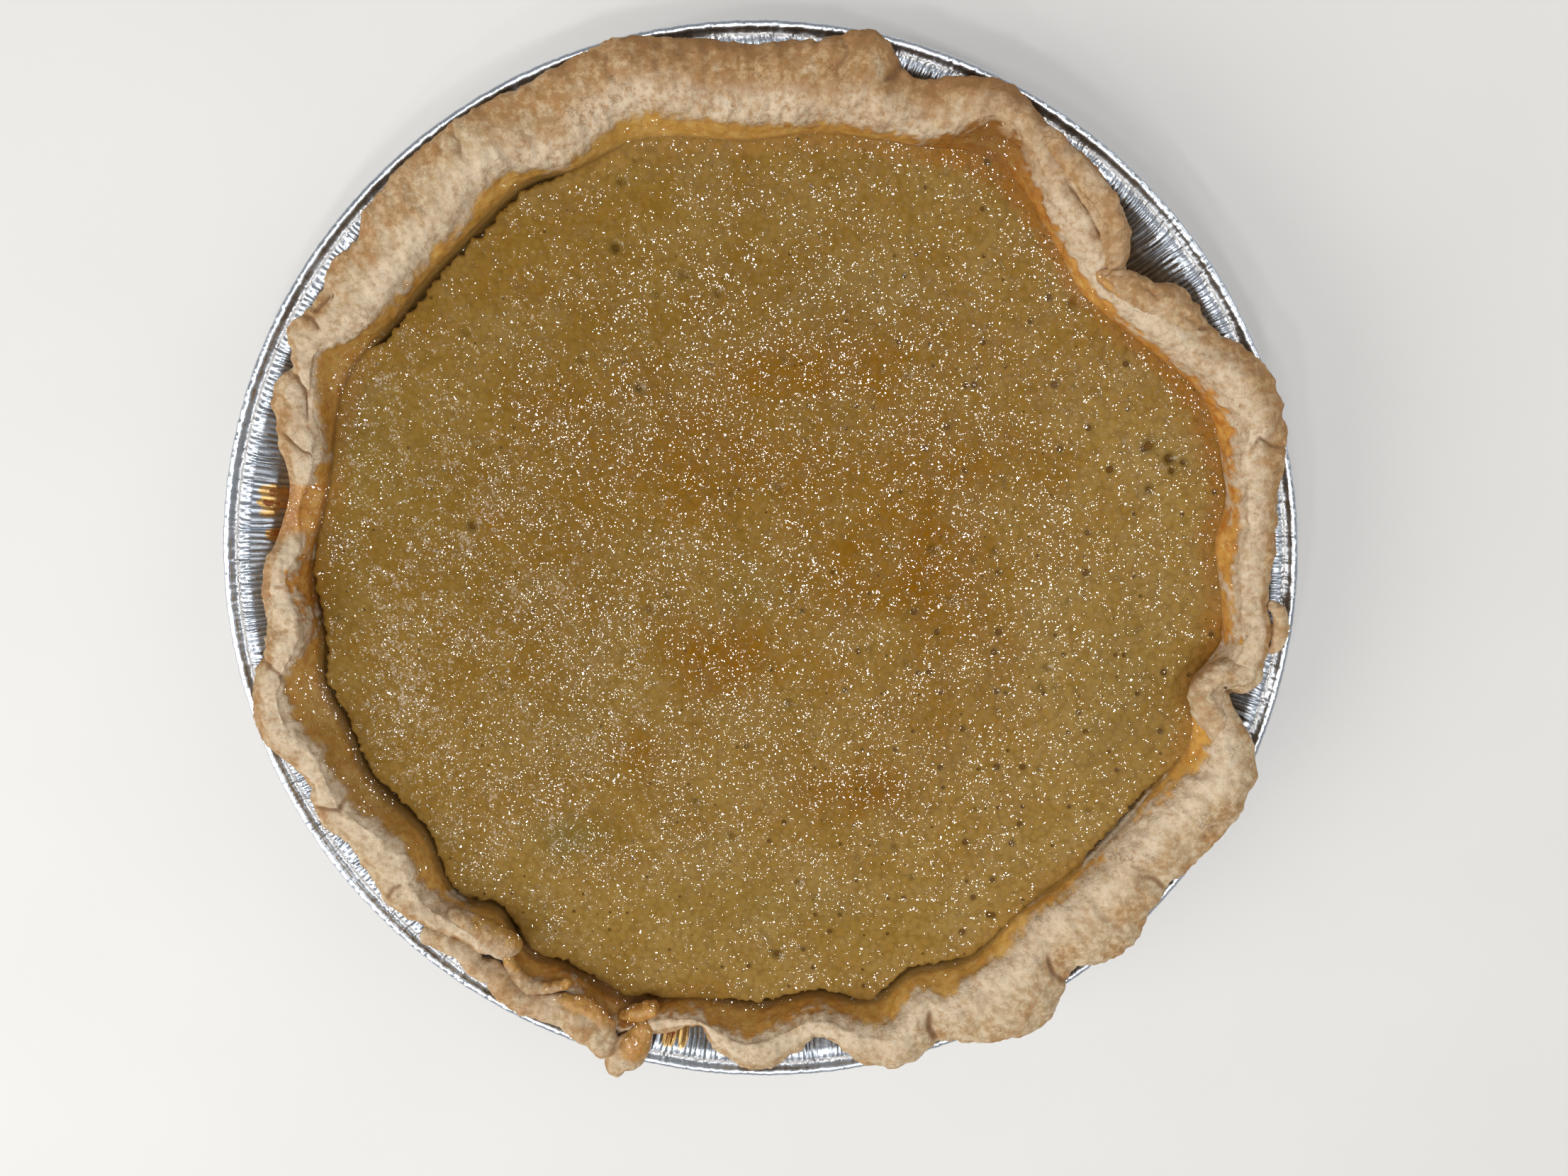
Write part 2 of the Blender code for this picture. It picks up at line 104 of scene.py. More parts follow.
# ---------------------------------------------------------------- what only the looks have
# How far the baked filling has shrunk from the pastry: nil where they touch
SHRINKAGE = (
    (0, 0.2), (30, 0.1), (60, 0.1), (90, 0.2), (112, 0.4), (122, 1.2), (134, 1.5), (143, 1.1), (150, 0.3),
    (172, 0.4), (186, 1.0), (200, 1.6), (215, 2.2), (224, 1.0), (232, 2.4), (246, 2.2), (254, 0.8),
    (262, 0.4), (277, 1.6), (284, 0.5), (292, 1.4), (300, 0.5), (318, 0.4), (324, 1.0), (332, 0.8),
    (340, 0.2), (349, 0.3))
# How caramelised the syrup soaked slope is, 0 golden to 1 dark reddish brown
CARAMEL = (
    (0, 0.45), (10, 0.85), (25, 0.95), (33, 0.85), (42, 0.8), (52, 0.9), (63, 1.5), (70, 0.7), (78, 0.45),
    (92, 0.35), (106, 0.1), (120, 0.25), (140, 0.3), (152, 0.5), (162, 0.55), (170, 0.8), (181, 1.0),
    (191, 0.4), (215, 0.4), (232, 0.4), (243, 0.8), (256, 0.9), (266, 0.5), (276, 0.7), (286, 0.3),
    (305, 0.15), (325, 0.35), (336, 0.3), (347, 0.5), (354, 0.9))
# Painted light and shade on the soaked slope, by angle, as a share of its usual colour:
# above 1 is painted light and below 1 is painted shade
PAINTED_SLOPE_LIGHT_SHADE = (
    (0, 1.05), (20, 1.05), (45, 1.08), (63, 0.78), (78, 0.95), (110, 1.0), (128, 1.28), (150, 0.84),
    (180, 1.02), (207, 0.72), (224, 1.05), (265, 0.86), (285, 1.05), (310, 1.18), (332, 1.22), (348, 1.15))
# How strongly the outside of the edge is browned, 0 pale to 1 toasted
BROWNING = (
    (0, 0.34), (10, 0.52), (24, 0.60), (40, 0.45), (52, 0.62), (63, 1.25), (69, 1.1), (78, 1.1), (90, 1.1),
    (104, 0.80), (116, 0.50), (134, 0.32), (148, 0.26), (165, 0.32), (182, 0.34), (195, 0.36), (215, 0.16),
    (232, 0.30), (250, 0.32), (270, 0.24), (287, 0.06), (303, 0.20), (318, 0.16), (340, 0.20))


def closed_curve(extremes, angles):
    """Values at the angles on a smooth closed curve through (angle, value) extremes.

    Cubic stretches; the slope at a knot is the harmonic mean of its neighbours', nil at a turn.
    """
    knots, values = np.array(extremes, float).T
    knots = np.concatenate([knots[-2:] - 360, knots, knots[:3] + 360])
    values = np.concatenate([values[-2:], values, values[:3]])
    step = np.diff(knots)
    rise = np.diff(values) / step
    product = rise[1:] * rise[:-1]
    total = np.where(product > 0, rise[1:] + rise[:-1], 1.0)
    slope = np.concatenate([[0.0], np.where(product > 0, 2 * product / total, 0.0), [0.0]])
    at = np.searchsorted(knots, angles, side="right") - 1
    t = (angles - knots[at]) / step[at]
    return (values[at] * (1 + 2 * t) * (1 - t) ** 2 + values[at + 1] * t * t * (3 - 2 * t)
            + step[at] * (slope[at] * t * (1 - t) ** 2 - slope[at + 1] * t * t * (1 - t)))


def smooth(low, high, value):
    """0 below low, 1 above high, and a smooth step between."""
    t = np.clip((value - low) / (high - low), 0, 1)
    return t * t * (3 - 2 * t)


def bell(value, middle, width):
    """1 at the middle, falling off on both sides as exp(-t^2), where t is the distance over the width."""
    return np.exp(-((value - middle) / width) ** 2)


def on_circle(radius, turn, height):
    """Points from radii, turns in radians and heights."""
    return np.stack([radius * np.cos(turn), radius * np.sin(turn), height + 0 * turn], -1)


def angle_and_radius(points):
    """Angles of points in degrees, from -180 to 180, and their radii."""
    x, y = points[..., 0], points[..., 1]
    return np.degrees(np.arctan2(y, x)), np.hypot(x, y)


def noise(points, size, seed):
    """Smooth noise from about -1 to 1, in bumps of the given size.

    Each corner of a lattice of cubes has a random number, and a point's value is blended from its
    cube's eight corners by a quintic of where it lies between them.
    """
    cell = np.asarray(points, float) / size
    base = np.floor(cell).astype(np.int64)
    part = cell - base
    ease = part ** 3 * (part * (part * 6 - 15) + 10)
    total = np.zeros(cell.shape[:-1])
    for corner in np.ndindex(2, 2, 2):
        index = base + corner
        mixed = index[..., 0] * 73856093 ^ index[..., 1] * 19349663 ^ index[..., 2] * 83492791
        mixed = (mixed + seed * 7919) & 0x7FFFFFFF
        mixed = (mixed ^ (mixed >> 13)) * 1274126177 & 0x7FFFFFFF
        mixed = (mixed ^ (mixed >> 11)) * 668265263 & 0x7FFFFFFF
        value = (mixed ^ (mixed >> 15)) / 0x3FFFFFFF - 1
        total += value * np.prod(np.where(corner, ease, 1 - ease), axis=-1)
    return total


def layered(points, size, seed, octaves=3, fall=0.5):
    """Noise summed over octaves, each half the size and fall times as strong as the one before."""
    total = 0.0
    for octave in range(octaves):
        total = total + fall ** octave * noise(points, size / 2 ** octave, seed + octave)
    return total


def normals(grid):
    """Unit normals of a (rows, columns, 3) grid closed along its columns, as row x column steps."""
    down = np.gradient(grid, axis=0)
    along = np.roll(grid, -1, axis=1) - np.roll(grid, 1, axis=1)
    out = np.cross(along, down)
    return out / np.maximum(np.linalg.norm(out, axis=-1, keepdims=True), 1e-9)


def to_segments(plan, line):
    """Distance in plan from each point to a broken line of (angle, radius) points, and the share
    of the line's length at the nearest place."""
    angles, radius = np.array(line, float).T
    knots = on_circle(radius, np.radians(angles), 0)[:, :2]
    best = np.full(plan.shape[:-1], 1e9)
    share = np.zeros(plan.shape[:-1])
    count = len(knots) - 1
    for i in range(count):
        start, step = knots[i], knots[i + 1] - knots[i]
        t = np.clip(((plan - start) @ step) / (step @ step), 0, 1)
        away = np.linalg.norm(plan - start - t[..., None] * step, axis=-1)
        nearer = away < best
        best = np.where(nearer, away, best)
        share = np.where(nearer, (i + t) / count, share)
    return best, share


def put(name, data):
    """A new object at the origin, for a mesh, a lamp or a lens."""
    thing = bpy.data.objects.new(name, data)
    bpy.context.scene.collection.objects.link(thing)
    return thing


def mesh_piece(name, points, faces, material, attributes=None):
    """A smooth shaded mesh object at the origin, from points in millimetres."""
    mesh = bpy.data.meshes.new(name)
    points = np.asarray(points, np.float32).reshape(-1, 3) * MM
    faces = np.asarray(faces, np.int32)
    corners = faces.shape[1]
    mesh.vertices.add(len(points))
    mesh.vertices.foreach_set("co", points.ravel())
    mesh.loops.add(faces.size)
    mesh.loops.foreach_set("vertex_index", faces.ravel())
    mesh.polygons.add(len(faces))
    mesh.polygons.foreach_set("loop_start", np.arange(0, faces.size, corners, dtype=np.int32))
    mesh.update(calc_edges=True)
    mesh.validate()
    mesh.shade_smooth()
    for label, values in (attributes or {}).items():
        layer = mesh.attributes.new(label, "FLOAT", "POINT")
        layer.data.foreach_set("value", np.asarray(values, np.float32).ravel())
    mesh.materials.append(material)
    return put(name, mesh)


def band_faces(rows, columns):
    """Quads of a grid that is closed along its columns."""
    row, column = np.meshgrid(np.arange(rows - 1), np.arange(columns), indexing="ij")
    after = (column + 1) % columns
    low, high = row * columns, (row + 1) * columns
    return np.stack([low + column, low + after, high + after, high + column], -1).reshape(-1, 4)


def turned_piece(name, grid, material, attributes=None):
    """A closed piece from rings of points, bottom's middle out, up and back in to the top's middle.

    Each end is closed by a fan of triangles round one point, and the bands are split into triangles.
    """
    rows, columns = grid.shape[:2]
    poles = [grid[0].mean(axis=0), grid[-1].mean(axis=0)]
    points = np.concatenate([grid.reshape(-1, 3), poles])
    quads = band_faces(rows, columns)
    column = np.arange(columns)
    after = (column + 1) % columns
    pole = np.full(columns, rows * columns)
    last_row = (rows - 1) * columns
    first = np.stack([pole, after, column], 1)
    last = np.stack([pole + 1, last_row + column, last_row + after], 1)
    faces = np.concatenate([quads[:, [0, 1, 2]], quads[:, [0, 2, 3]], first, last])
    table = {}
    for label, values in (attributes or {}).items():
        values = np.asarray(values, float)
        ends = [values[0].mean(), values[-1].mean()]
        table[label] = np.concatenate([values.ravel(), ends])
    return mesh_piece(name, points, faces, material, table)


# ---------------------------------------------------------------- materials
class Nodes:
    """Short hand for building one material's node tree."""

    def __init__(self, name):
        self.material = bpy.data.materials.new(name)
        self.material.use_nodes = True
        self.tree = self.material.node_tree
        self.shader = self.tree.nodes["Principled BSDF"]
        self.place = self.add("ShaderNodeTexCoord").outputs["Object"]

    def add(self, kind, **settings):
        """A node of a kind, with its own settings."""
        node = self.tree.nodes.new(kind)
        for key, value in settings.items():
            setattr(node, key, value)
        return node

    def link(self, value, socket):
        """Connect an output, or set a plain value."""
        if isinstance(value, bpy.types.NodeSocket):
            self.tree.links.new(value, socket)
        elif isinstance(value, tuple):
            socket.default_value = (*value, 1.0) if len(socket.default_value) == 4 else value
        else:
            socket.default_value = value

    def sums(self, operation, *values):
        """One arithmetic step."""
        node = self.add("ShaderNodeMath", operation=operation)
        for socket, value in zip(node.inputs, values):
            self.link(value, socket)
        return node.outputs[0]

    def plus(self, first, second):
        """Their sum."""
        return self.sums("ADD", first, second)

    def minus(self, first, second):
        """The first less the second."""
        return self.sums("SUBTRACT", first, second)

    def times(self, first, second):
        """Their product."""
        return self.sums("MULTIPLY", first, second)

    def most(self, first, second):
        """The greater of two."""
        return self.sums("MAXIMUM", first, second)

    def ramp(self, value, low, high, start=0.0, end=1.0):
        """A smooth step of value from low to high, giving start to end."""
        node = self.add("ShaderNodeMapRange", interpolation_type="SMOOTHSTEP")
        for socket, item in zip(node.inputs, (value, low, high, start, end)):
            self.link(item, socket)
        return node.outputs[0]

    def give(self, name, value):
        """Set an input of the material's shader."""
        self.link(value, self.shader.inputs[name])

    def texture(self, kind, size, place=None, **settings):
        """A texture whose pattern is about size millimetres wide."""
        node = self.add(kind, **settings)
        self.link(self.place if place is None else place, node.inputs["Vector"])
        node.inputs["Scale"].default_value = 1000.0 / size
        return node

    def mottle(self, size, detail=3.0, roughness=0.5):
        """Soft cloudy pattern with clouds of about size millimetres."""
        node = self.texture("ShaderNodeTexNoise", size)
        node.inputs["Detail"].default_value = detail
        node.inputs["Roughness"].default_value = roughness
        return node.outputs["Fac"]

    def cells(self, size, place=None, dimensions="3D"):
        """Points scattered about size millimetres apart: distance to the nearest, and its colour."""
        node = self.texture("ShaderNodeTexVoronoi", size, place, voronoi_dimensions=dimensions)
        return node.outputs["Distance"], node.outputs["Color"]

    def part(self, colour, index):
        """One of a colour's three parts."""
        node = self.add("ShaderNodeSeparateColor")
        self.link(colour, node.inputs[0])
        return node.outputs[index]

    def bubbles(self, size, strength):
        """Open bubbles scattered about size millimetres apart: their holes and the rings round them."""
        away, colour = self.cells(size, dimensions="2D")
        reach = self.times(self.sums("POWER", self.part(colour, 1), 4.0), strength)
        wide = self.times(reach, 1.7)
        hole = self.ramp(self.minus(reach, away), 0.0, 0.03)
        return hole, self.ramp(self.minus(wide, away), 0.0, 0.05)

    def crystals(self, size, tilt, normal):
        """Scattered flat facets about size millimetres wide, each leaning its own way from a normal.

        Gives the facets' normals and a random number from 0 to 1 for each facet.
        """
        bent = self.texture("ShaderNodeTexNoise", 1.6 * size)
        shift = self.vectors("MULTIPLY_ADD", bent.outputs["Color"], (size * MM,) * 3, self.place)
        _, colour = self.cells(size, shift)
        lean = self.vectors("SUBTRACT", colour, (0.5, 0.5, 0.5))
        facing = self.vectors("MULTIPLY_ADD", lean, (2 * tilt, 2 * tilt, 0.0), normal)
        return self.vectors("NORMALIZE", facing), self.part(colour, 2)

    def vectors(self, operation, *values):
        """One step of vector arithmetic."""
        node = self.add("ShaderNodeVectorMath", operation=operation)
        for socket, value in zip(node.inputs, values):
            self.link(value, socket)
        return node.outputs["Value" if operation == "LENGTH" else "Vector"]

    def mix(self, share, first, second):
        """Blend two colours by a share."""
        node = self.add("ShaderNodeMix", data_type="RGBA")
        for index, value in ((0, share), (6, first), (7, second)):
            self.link(value, node.inputs[index])
        return node.outputs[2]

    def painted(self, name):
        """A number painted on the mesh's points."""
        return self.add("ShaderNodeAttribute", attribute_name=name).outputs["Fac"]

    def bump(self, height, distance, before=None):
        """Small relief from a height of 0 to 1, distance in millimetres at full height."""
        node = self.add("ShaderNodeBump")
        node.inputs["Distance"].default_value = distance * MM
        self.link(height, node.inputs["Height"])
        if before is not None:
            self.link(before, node.inputs["Normal"])
        return node.outputs[0]


def foil_material():
    """Bright crinkled aluminium foil, gold or brown where syrup baked on it.

    Painted shade darkens the bottoms of its pleats, and a painted reflection, dark brownish grey, fills the
    channel inside its bead.
    """
    n = Nodes("foil")
    stain = n.painted("stain")
    clean = n.mix(n.mottle(6, 2), (0.63, 0.69, 0.77), (0.73, 0.78, 0.85))
    # painted shade: the bottoms of the pleats are coloured a dark bluish grey
    clean = n.mix(n.times(n.painted("painted_groove_shade"), 0.85), clean, (0.20, 0.215, 0.24))
    # painted reflection: the channel inside the bead is coloured dark brownish grey, standing in for the
    # darker things it mirrors
    clean = n.mix(n.painted("painted_channel_reflection"), clean, (0.22, 0.205, 0.19))
    gold = n.ramp(n.plus(stain, n.times(n.mottle(1.1, 2), 0.6)), 0.55, 0.85)
    drop = n.ramp(n.plus(stain, n.times(n.mottle(1.3, 3), 0.9)), 1.26, 1.40)
    tinted = n.mix(n.times(gold, 0.85), clean, (0.86, 0.52, 0.13))
    n.give("Base Color", n.mix(drop, tinted, (0.26, 0.075, 0.013)))
    n.give("Metallic", n.minus(1.0, n.times(drop, 0.8)))
    n.give("Roughness", n.ramp(n.mottle(3, 3), 0.3, 0.7, 0.22, 0.34))
    n.give("Normal", n.bump(n.mottle(0.9, 3), 0.06))
    return n.material


def pastry_material():
    """Baked shortcrust: pale to golden to toasted, floury inside the rim, syrup soaked below that."""
    n = Nodes("pastry")
    amber, flour, toast, crease, caramel = map(n.painted, ("amber", "flour", "toast", "crease", "caramel"))
    cloud = n.mottle(5.0, 4, 0.6)
    fleck = n.mottle(1.6, 4, 0.65)
    pale = n.mix(n.ramp(fleck, 0.40, 0.60), (0.42, 0.295, 0.158), (0.57, 0.445, 0.290))
    baked = n.plus(toast, n.ramp(cloud, 0.38, 0.66, -0.16, 0.26))
    golden = n.mix(n.ramp(fleck, 0.42, 0.62), (0.34, 0.182, 0.066), (0.48, 0.315, 0.160))
    crust = n.mix(n.ramp(baked, 0.0, 0.60), pale, golden)
    crust = n.mix(n.ramp(baked, 0.62, 1.25), crust, (0.27, 0.135, 0.045))
    blush = n.ramp(n.mottle(2.4, 4, 0.66), 0.48, 0.64, 0.0, 0.75)
    crust = n.mix(n.times(blush, n.ramp(baked, 0.0, 0.8, 0.45, 1.0)), crust, (0.36, 0.19, 0.080))
    powder = n.times(flour, n.ramp(n.mottle(1.5, 4, 0.7), 0.36, 0.60, 0.24, 0.95))
    crust = n.mix(powder, crust, (0.64, 0.515, 0.365))
    line = n.sums("ABSOLUTE", n.minus(n.mottle(3.4, 3, 0.55), 0.5))
    crack = n.times(n.ramp(line, 0.002, 0.014, 1.0, 0.0), n.ramp(n.mottle(5.5, 2), 0.56, 0.66))
    # painted shade: creases and cracks are coloured dark brown
    dark = n.most(n.ramp(crease, 0.15, 0.9, 0.0, 0.9), n.times(crack, 0.15))
    crust = n.mix(dark, crust, (0.20, 0.10, 0.04))
    honey = n.mix(n.ramp(n.mottle(4.0, 3), 0.35, 0.7), (0.54, 0.30, 0.064), (0.65, 0.405, 0.118))
    burnt = n.mix(n.ramp(n.mottle(2.2, 3), 0.38, 0.62), (0.40, 0.140, 0.017), (0.55, 0.240, 0.046))
    uneven = n.ramp(n.mottle(1.7, 4, 0.65), 0.36, 0.64, -0.28, 0.28)
    soaked = n.mix(n.plus(caramel, uneven), honey, burnt)
    low = n.mix(caramel, (0.30, 0.175, 0.045), (0.24, 0.100, 0.020))
    # painted light and shade: the soaked colour is scaled up or down by angle
    soaked = n.vectors("MULTIPLY", n.mix(n.painted("foot"), soaked, low), n.painted("painted_slope_light_shade"))
    n.give("Base Color", n.mix(amber, crust, soaked))
    n.give("Roughness", n.minus(0.78, n.times(amber, 0.42)))
    n.give("Specular IOR Level", 0.35)
    n.give("Subsurface Weight", 0.10)
    n.give("Subsurface Radius", (1.0, 0.55, 0.3))
    n.give("Subsurface Scale", 0.0014)
    dry = n.minus(1.0, n.times(amber, 0.5))
    soft = n.bump(n.times(n.mottle(1.9, 4, 0.6), dry), 0.46)
    soft = n.bump(n.times(crack, dry), -0.12, soft)
    fine = n.bump(n.times(n.mottle(0.5, 3, 0.6), dry), 0.12, soft)
    n.give("Normal", fine)
    level = n.vectors("MULTIPLY_ADD", soft, (0.18, 0.18, 0.18), (0.0, 0.0, 0.82))
    facing, chance = n.crystals(0.36, 0.22, level)
    n.give("Coat Weight", n.sums("LESS_THAN", chance, n.painted("glaze")))
    n.give("Coat Roughness", 0.06)
    n.give("Coat Normal", facing)
    return n.material


def filling_material():
    """Baked brown sugar filling under a broken skin of clear syrup that glints in tiny facets."""
    n = Nodes("sugar_filling")
    patch, olive, pit, rim, wet, painted_light_pool = map(n.painted, ("patch", "olive", "pit", "rim", "wet", "painted_light_pool"))
    cloud = n.ramp(n.mottle(11.0, 4, 0.55), 0.34, 0.66)
    grain = n.ramp(n.mottle(1.2, 2, 0.6), 0.3, 0.7)
    # painted light: both tones turn lighter towards the lower right and near the edge
    tan = n.mix(painted_light_pool, (0.205, 0.118, 0.023), (0.308, 0.190, 0.051))
    brown = n.mix(painted_light_pool, (0.176, 0.089, 0.010), (0.270, 0.150, 0.029))
    colour = n.mix(cloud, tan, brown)
    colour = n.mix(n.times(grain, 0.35), colour, (0.288, 0.168, 0.040))
    colour = n.mix(patch, colour, (0.210, 0.088, 0.003))
    colour = n.mix(olive, colour, (0.190, 0.124, 0.026))
    colour = n.mix(rim, colour, n.mix(n.painted("dark_rim"), (0.30, 0.175, 0.045), (0.27, 0.118, 0.020)))
    # painted shade: darker towards the edges of small cells, as shade in the hollows between bubbles
    painted_hollow_shade = n.ramp(n.cells(1.3)[0], 0.35, 0.85, 0.0, 0.42)
    colour = n.mix(painted_hollow_shade, colour, (0.150, 0.080, 0.012))
    hole, ring = n.bubbles(4.4, n.ramp(n.painted("bubbly"), 0.0, 1.0, 0.06, 0.18))
    for x, y, size, _ in PITS:
        away = n.vectors("MULTIPLY", n.vectors("SUBTRACT", n.place, (x * MM, y * MM, 0.0)), (1.0, 1.0, 0.0))
        away = n.vectors("LENGTH", away)
        hole = n.most(hole, n.ramp(away, 0.45 * size * MM, 0.75 * size * MM, 0.9, 0.0))
        ring = n.most(ring, n.ramp(away, 1.1 * size * MM, 1.6 * size * MM, 1.0, 0.0))
    # painted shade: the holes of pits and open bubbles are coloured dark brown
    hole = n.most(n.times(pit, 0.5), hole)
    colour = n.mix(n.times(ring, 0.5), colour, (0.185, 0.115, 0.028))
    colour = n.mix(hole, colour, (0.120, 0.056, 0.010))
    n.give("Base Color", colour)
    n.give("Roughness", 0.5)
    n.give("Specular IOR Level", 0.0)
    n.give("Coat Roughness", 0.06)
    n.give("Coat IOR", 1.6)
    away = n.cells(1.5)[0]
    swell = n.bump(n.mottle(3.2, 2, 0.5), 0.45)
    bump = n.bump(n.minus(1.0, n.times(away, away)), 0.16, swell)
    bump = n.bump(n.minus(n.times(ring, 0.4), hole), 0.25, bump)
    facing, chance = n.crystals(0.34, 0.19, swell)
    cluster = n.ramp(n.mottle(2.2, 3, 0.6), 0.32, 0.68, -0.30, 0.45)
    n.give("Coat Weight", n.sums("LESS_THAN", chance, n.plus(wet, cluster)))
    n.give("Normal", bump)
    n.give("Coat Normal", facing)
    return n.material


def floor_material():
    """Pale matt table top with a hardly visible grain."""
    n = Nodes("table_top")
    n.give("Base Color", n.mix(n.mottle(60, 3), (0.72, 0.71, 0.69), (0.76, 0.75, 0.73)))
    n.give("Roughness", 0.6)
    return n.material


# ---------------------------------------------------------------- foil tin
PLEATS = 560
PLEAT_DEPTH = 0.30
# Baked syrup that ran over the foil: angle, radius, reach around and along the radius
SPILLS = ((169.6, 105.6, 5.2, 3.0), (173.4, 104.6, 2.0, 1.8), (259.0, 106.5, 3.6, 4.2))
# Radius at which lengths along the pleated wall are counted
WALL_RADIUS = 108
# How far the foil is crumpled outwards and upwards
CRUMPLE_OUT, CRUMPLE_UP = 0.10, 0.12


def offset(line, distance):
    """A line of (radius, height) points moved to its left by distance, its corners mitred."""
    points = np.array(line, float)
    along = np.diff(points, axis=0)
    along /= np.linalg.norm(along, axis=1)[:, None]
    side = np.stack([-along[:, 1], along[:, 0]], axis=1)
    before = np.concatenate([side[:1], side])
    after = np.concatenate([side, side[-1:]])
    mitre = before + after
    return points + distance * 2 * mitre / (mitre * mitre).sum(axis=1)[:, None]


def strip(along):
    """Points on a straight line, for noise that changes only along it."""
    return np.stack([along, 0 * along, 0 * along], -1)


def pleat_columns(draw):
    """Angles of the foil's columns and the pleat's lift at each, from -1 to 1.

    Pleats have uneven widths. Each has four columns: a steep side, a flat top, a steep side and a
    flat bottom, and some pleats are pressed almost flat.
    """
    widths = draw.uniform(0.70, 1.35, PLEATS)
    widths *= 360.0 / widths.sum()
    starts = np.concatenate([[0.0], np.cumsum(widths)[:-1]])
    shares = np.array([0.0, 0.34, 0.5, 0.84])
    angles = (starts[:, None] + shares * widths[:, None]).ravel()
    high = draw.uniform(0.45, 1.0, PLEATS)[:, None]
    lifts = (np.array([-1.0, 1.0, 1.0, -1.0]) * high + draw.uniform(-0.2, 0.2, (PLEATS, 4))).ravel()
    return angles, lifts


def make_tin(material):
    """The pleated foil plate: one section line turned round, its wall folded into pleats."""
    draw = np.random.default_rng(11)
    angles, lifts = pleat_columns(draw)
    line = [(BASE_RADIUS, TIN_WALL / 2), CORNER, (92.1, 9.5), (98.2, 17.7), SHOULDER, STEP,
            (106.9, 27.8), (108.6, 28.85), RIDGE, CHANNEL]
    pleated = np.array([0.0, 0.7, 1.0, 1.0, 0.8, 0.7, 1.0, 1.0, 0.55, 0.2])
    crumpled = np.array([0.0, 0.2, 0.3, 0.3, 0.8, 1.0, 0.5, 0.5, 1.0, 0.7])
    half = TIN_WALL / 2 - 0.1
    under, over = offset(line, -half), offset(line, half)
    under[0], over[0] = (BASE_RADIUS, 0.0), (BASE_RADIUS, TIN_WALL)
    bead_turn = np.radians(np.linspace(212, 360 + 152, 9))
    bead = on_circle(BEAD_RADIUS - 0.08, bead_turn, 0)[:, :2] + [TIN_RADIUS - BEAD_RADIUS, BEAD_HEIGHT]
    base = np.array([[30.0, 0.0], [58.0, 0.0], [59.0, 0.25], [61.0, 0.25], [62.0, 0.0], [79.0, 0.0],
                     [80.0, 0.2], [81.5, 0.2]])
    section = np.concatenate([base, under, bead, over[::-1]])
    still = np.zeros(len(base))
    rows_pleated = np.concatenate([still, pleated, np.full(len(bead), 0.12), pleated[::-1]])
    rows_crumpled = np.concatenate([still, crumpled, np.full(len(bead), 1.0), crumpled[::-1]])
    turn = np.radians(angles)
    slope = np.where(section[:, :1] < STEP[0], math.atan2(SHOULDER[1] - CORNER[1], SHOULDER[0] - CORNER[0]),
                     math.atan2(RIDGE[1] - STEP[1], RIDGE[0] - STEP[0]))
    lean = noise(strip(turn * 30), 1.0, 5)
    lift = rows_pleated[:, None] * PLEAT_DEPTH * lifts[None, :]
    radius = section[:, :1] + lift * np.sin(slope)
    height = section[:, 1:] - lift * np.cos(slope)
    swing = np.radians(0.5) * lean[None, :] * rows_pleated[:, None] * (height - 15) / 15
    grid = on_circle(radius, turn + swing, height)
    facet = strip(turn * WALL_RADIUS / 0.9)
    rows = range(len(section))
    wander, rise = [np.stack([noise(facet + [0, row * 0.37, shift], 1.0, seed) for row in rows])
                    for shift, seed in ((0.0, 21), (9.0, 37))]
    grid = grid + on_circle(1, turn, 0) * (CRUMPLE_OUT * wander * rows_crumpled[:, None])[..., None]
    grid[..., 2] += CRUMPLE_UP * rise * rows_crumpled[:, None]
    limit = TIN_RADIUS - 0.07
    far = np.linalg.norm(grid[..., :2], axis=-1, keepdims=True)
    grid[..., :2] *= np.minimum(1.0, limit / np.maximum(far, 1e-6))
    stain = np.zeros(grid.shape[:2])
    streaky = 0.28 * noise(strip(turn * WALL_RADIUS), 1.1, 41)
    far = np.linalg.norm(grid[..., :2], axis=-1)
    for angle, reach, wide, long in SPILLS:
        across = ((angles - angle + 180) % 360 - 180) * math.radians(reach) / wide
        spread = 1 - np.hypot(across, (far - reach) / long) + streaky
        stain = np.maximum(stain, np.clip(1.5 * spread, 0, 1))
    stain[:len(base) + len(under) + 3] = 0
    # painted shade, strongest at the bottom of each pleat
    painted_groove_shade = rows_pleated[:, None] * np.clip(0.5 - 0.6 * lifts, 0, 1)[None, :]
    # painted reflection in the channel inside the bead
    painted_channel_reflection = bell(far, CHANNEL[0] + 0.1, 1.0) * (height < BEAD_HEIGHT - 0.3)
    return turned_piece("foil_tin", grid, material, {"stain": stain, "painted_groove_shade": painted_groove_shade, "painted_channel_reflection": painted_channel_reflection})


# ---------------------------------------------------------------- pastry
CRUST_COLUMNS = 1360
CRUST_ROWS = 54
# Millimetres along the rolled edge in one degree
ARC = 1.9
# Angles between which the inner slope is leafy, and those between which syrup ran right over the edge:
# where each begins, is full, starts to end and has ended
LEAFY = (172, 176, 196, 202)
SPILLWAY = (166.2, 166.7, 171.6, 173.4)
# Angle of the corner that the syrup has stained darkest
DARK_CORNER = 63
# Height at which the pastry starts to be pressed down, and by how much more it can rise at most
CEILING, ABOVE_CEILING = 37.4, 1.2
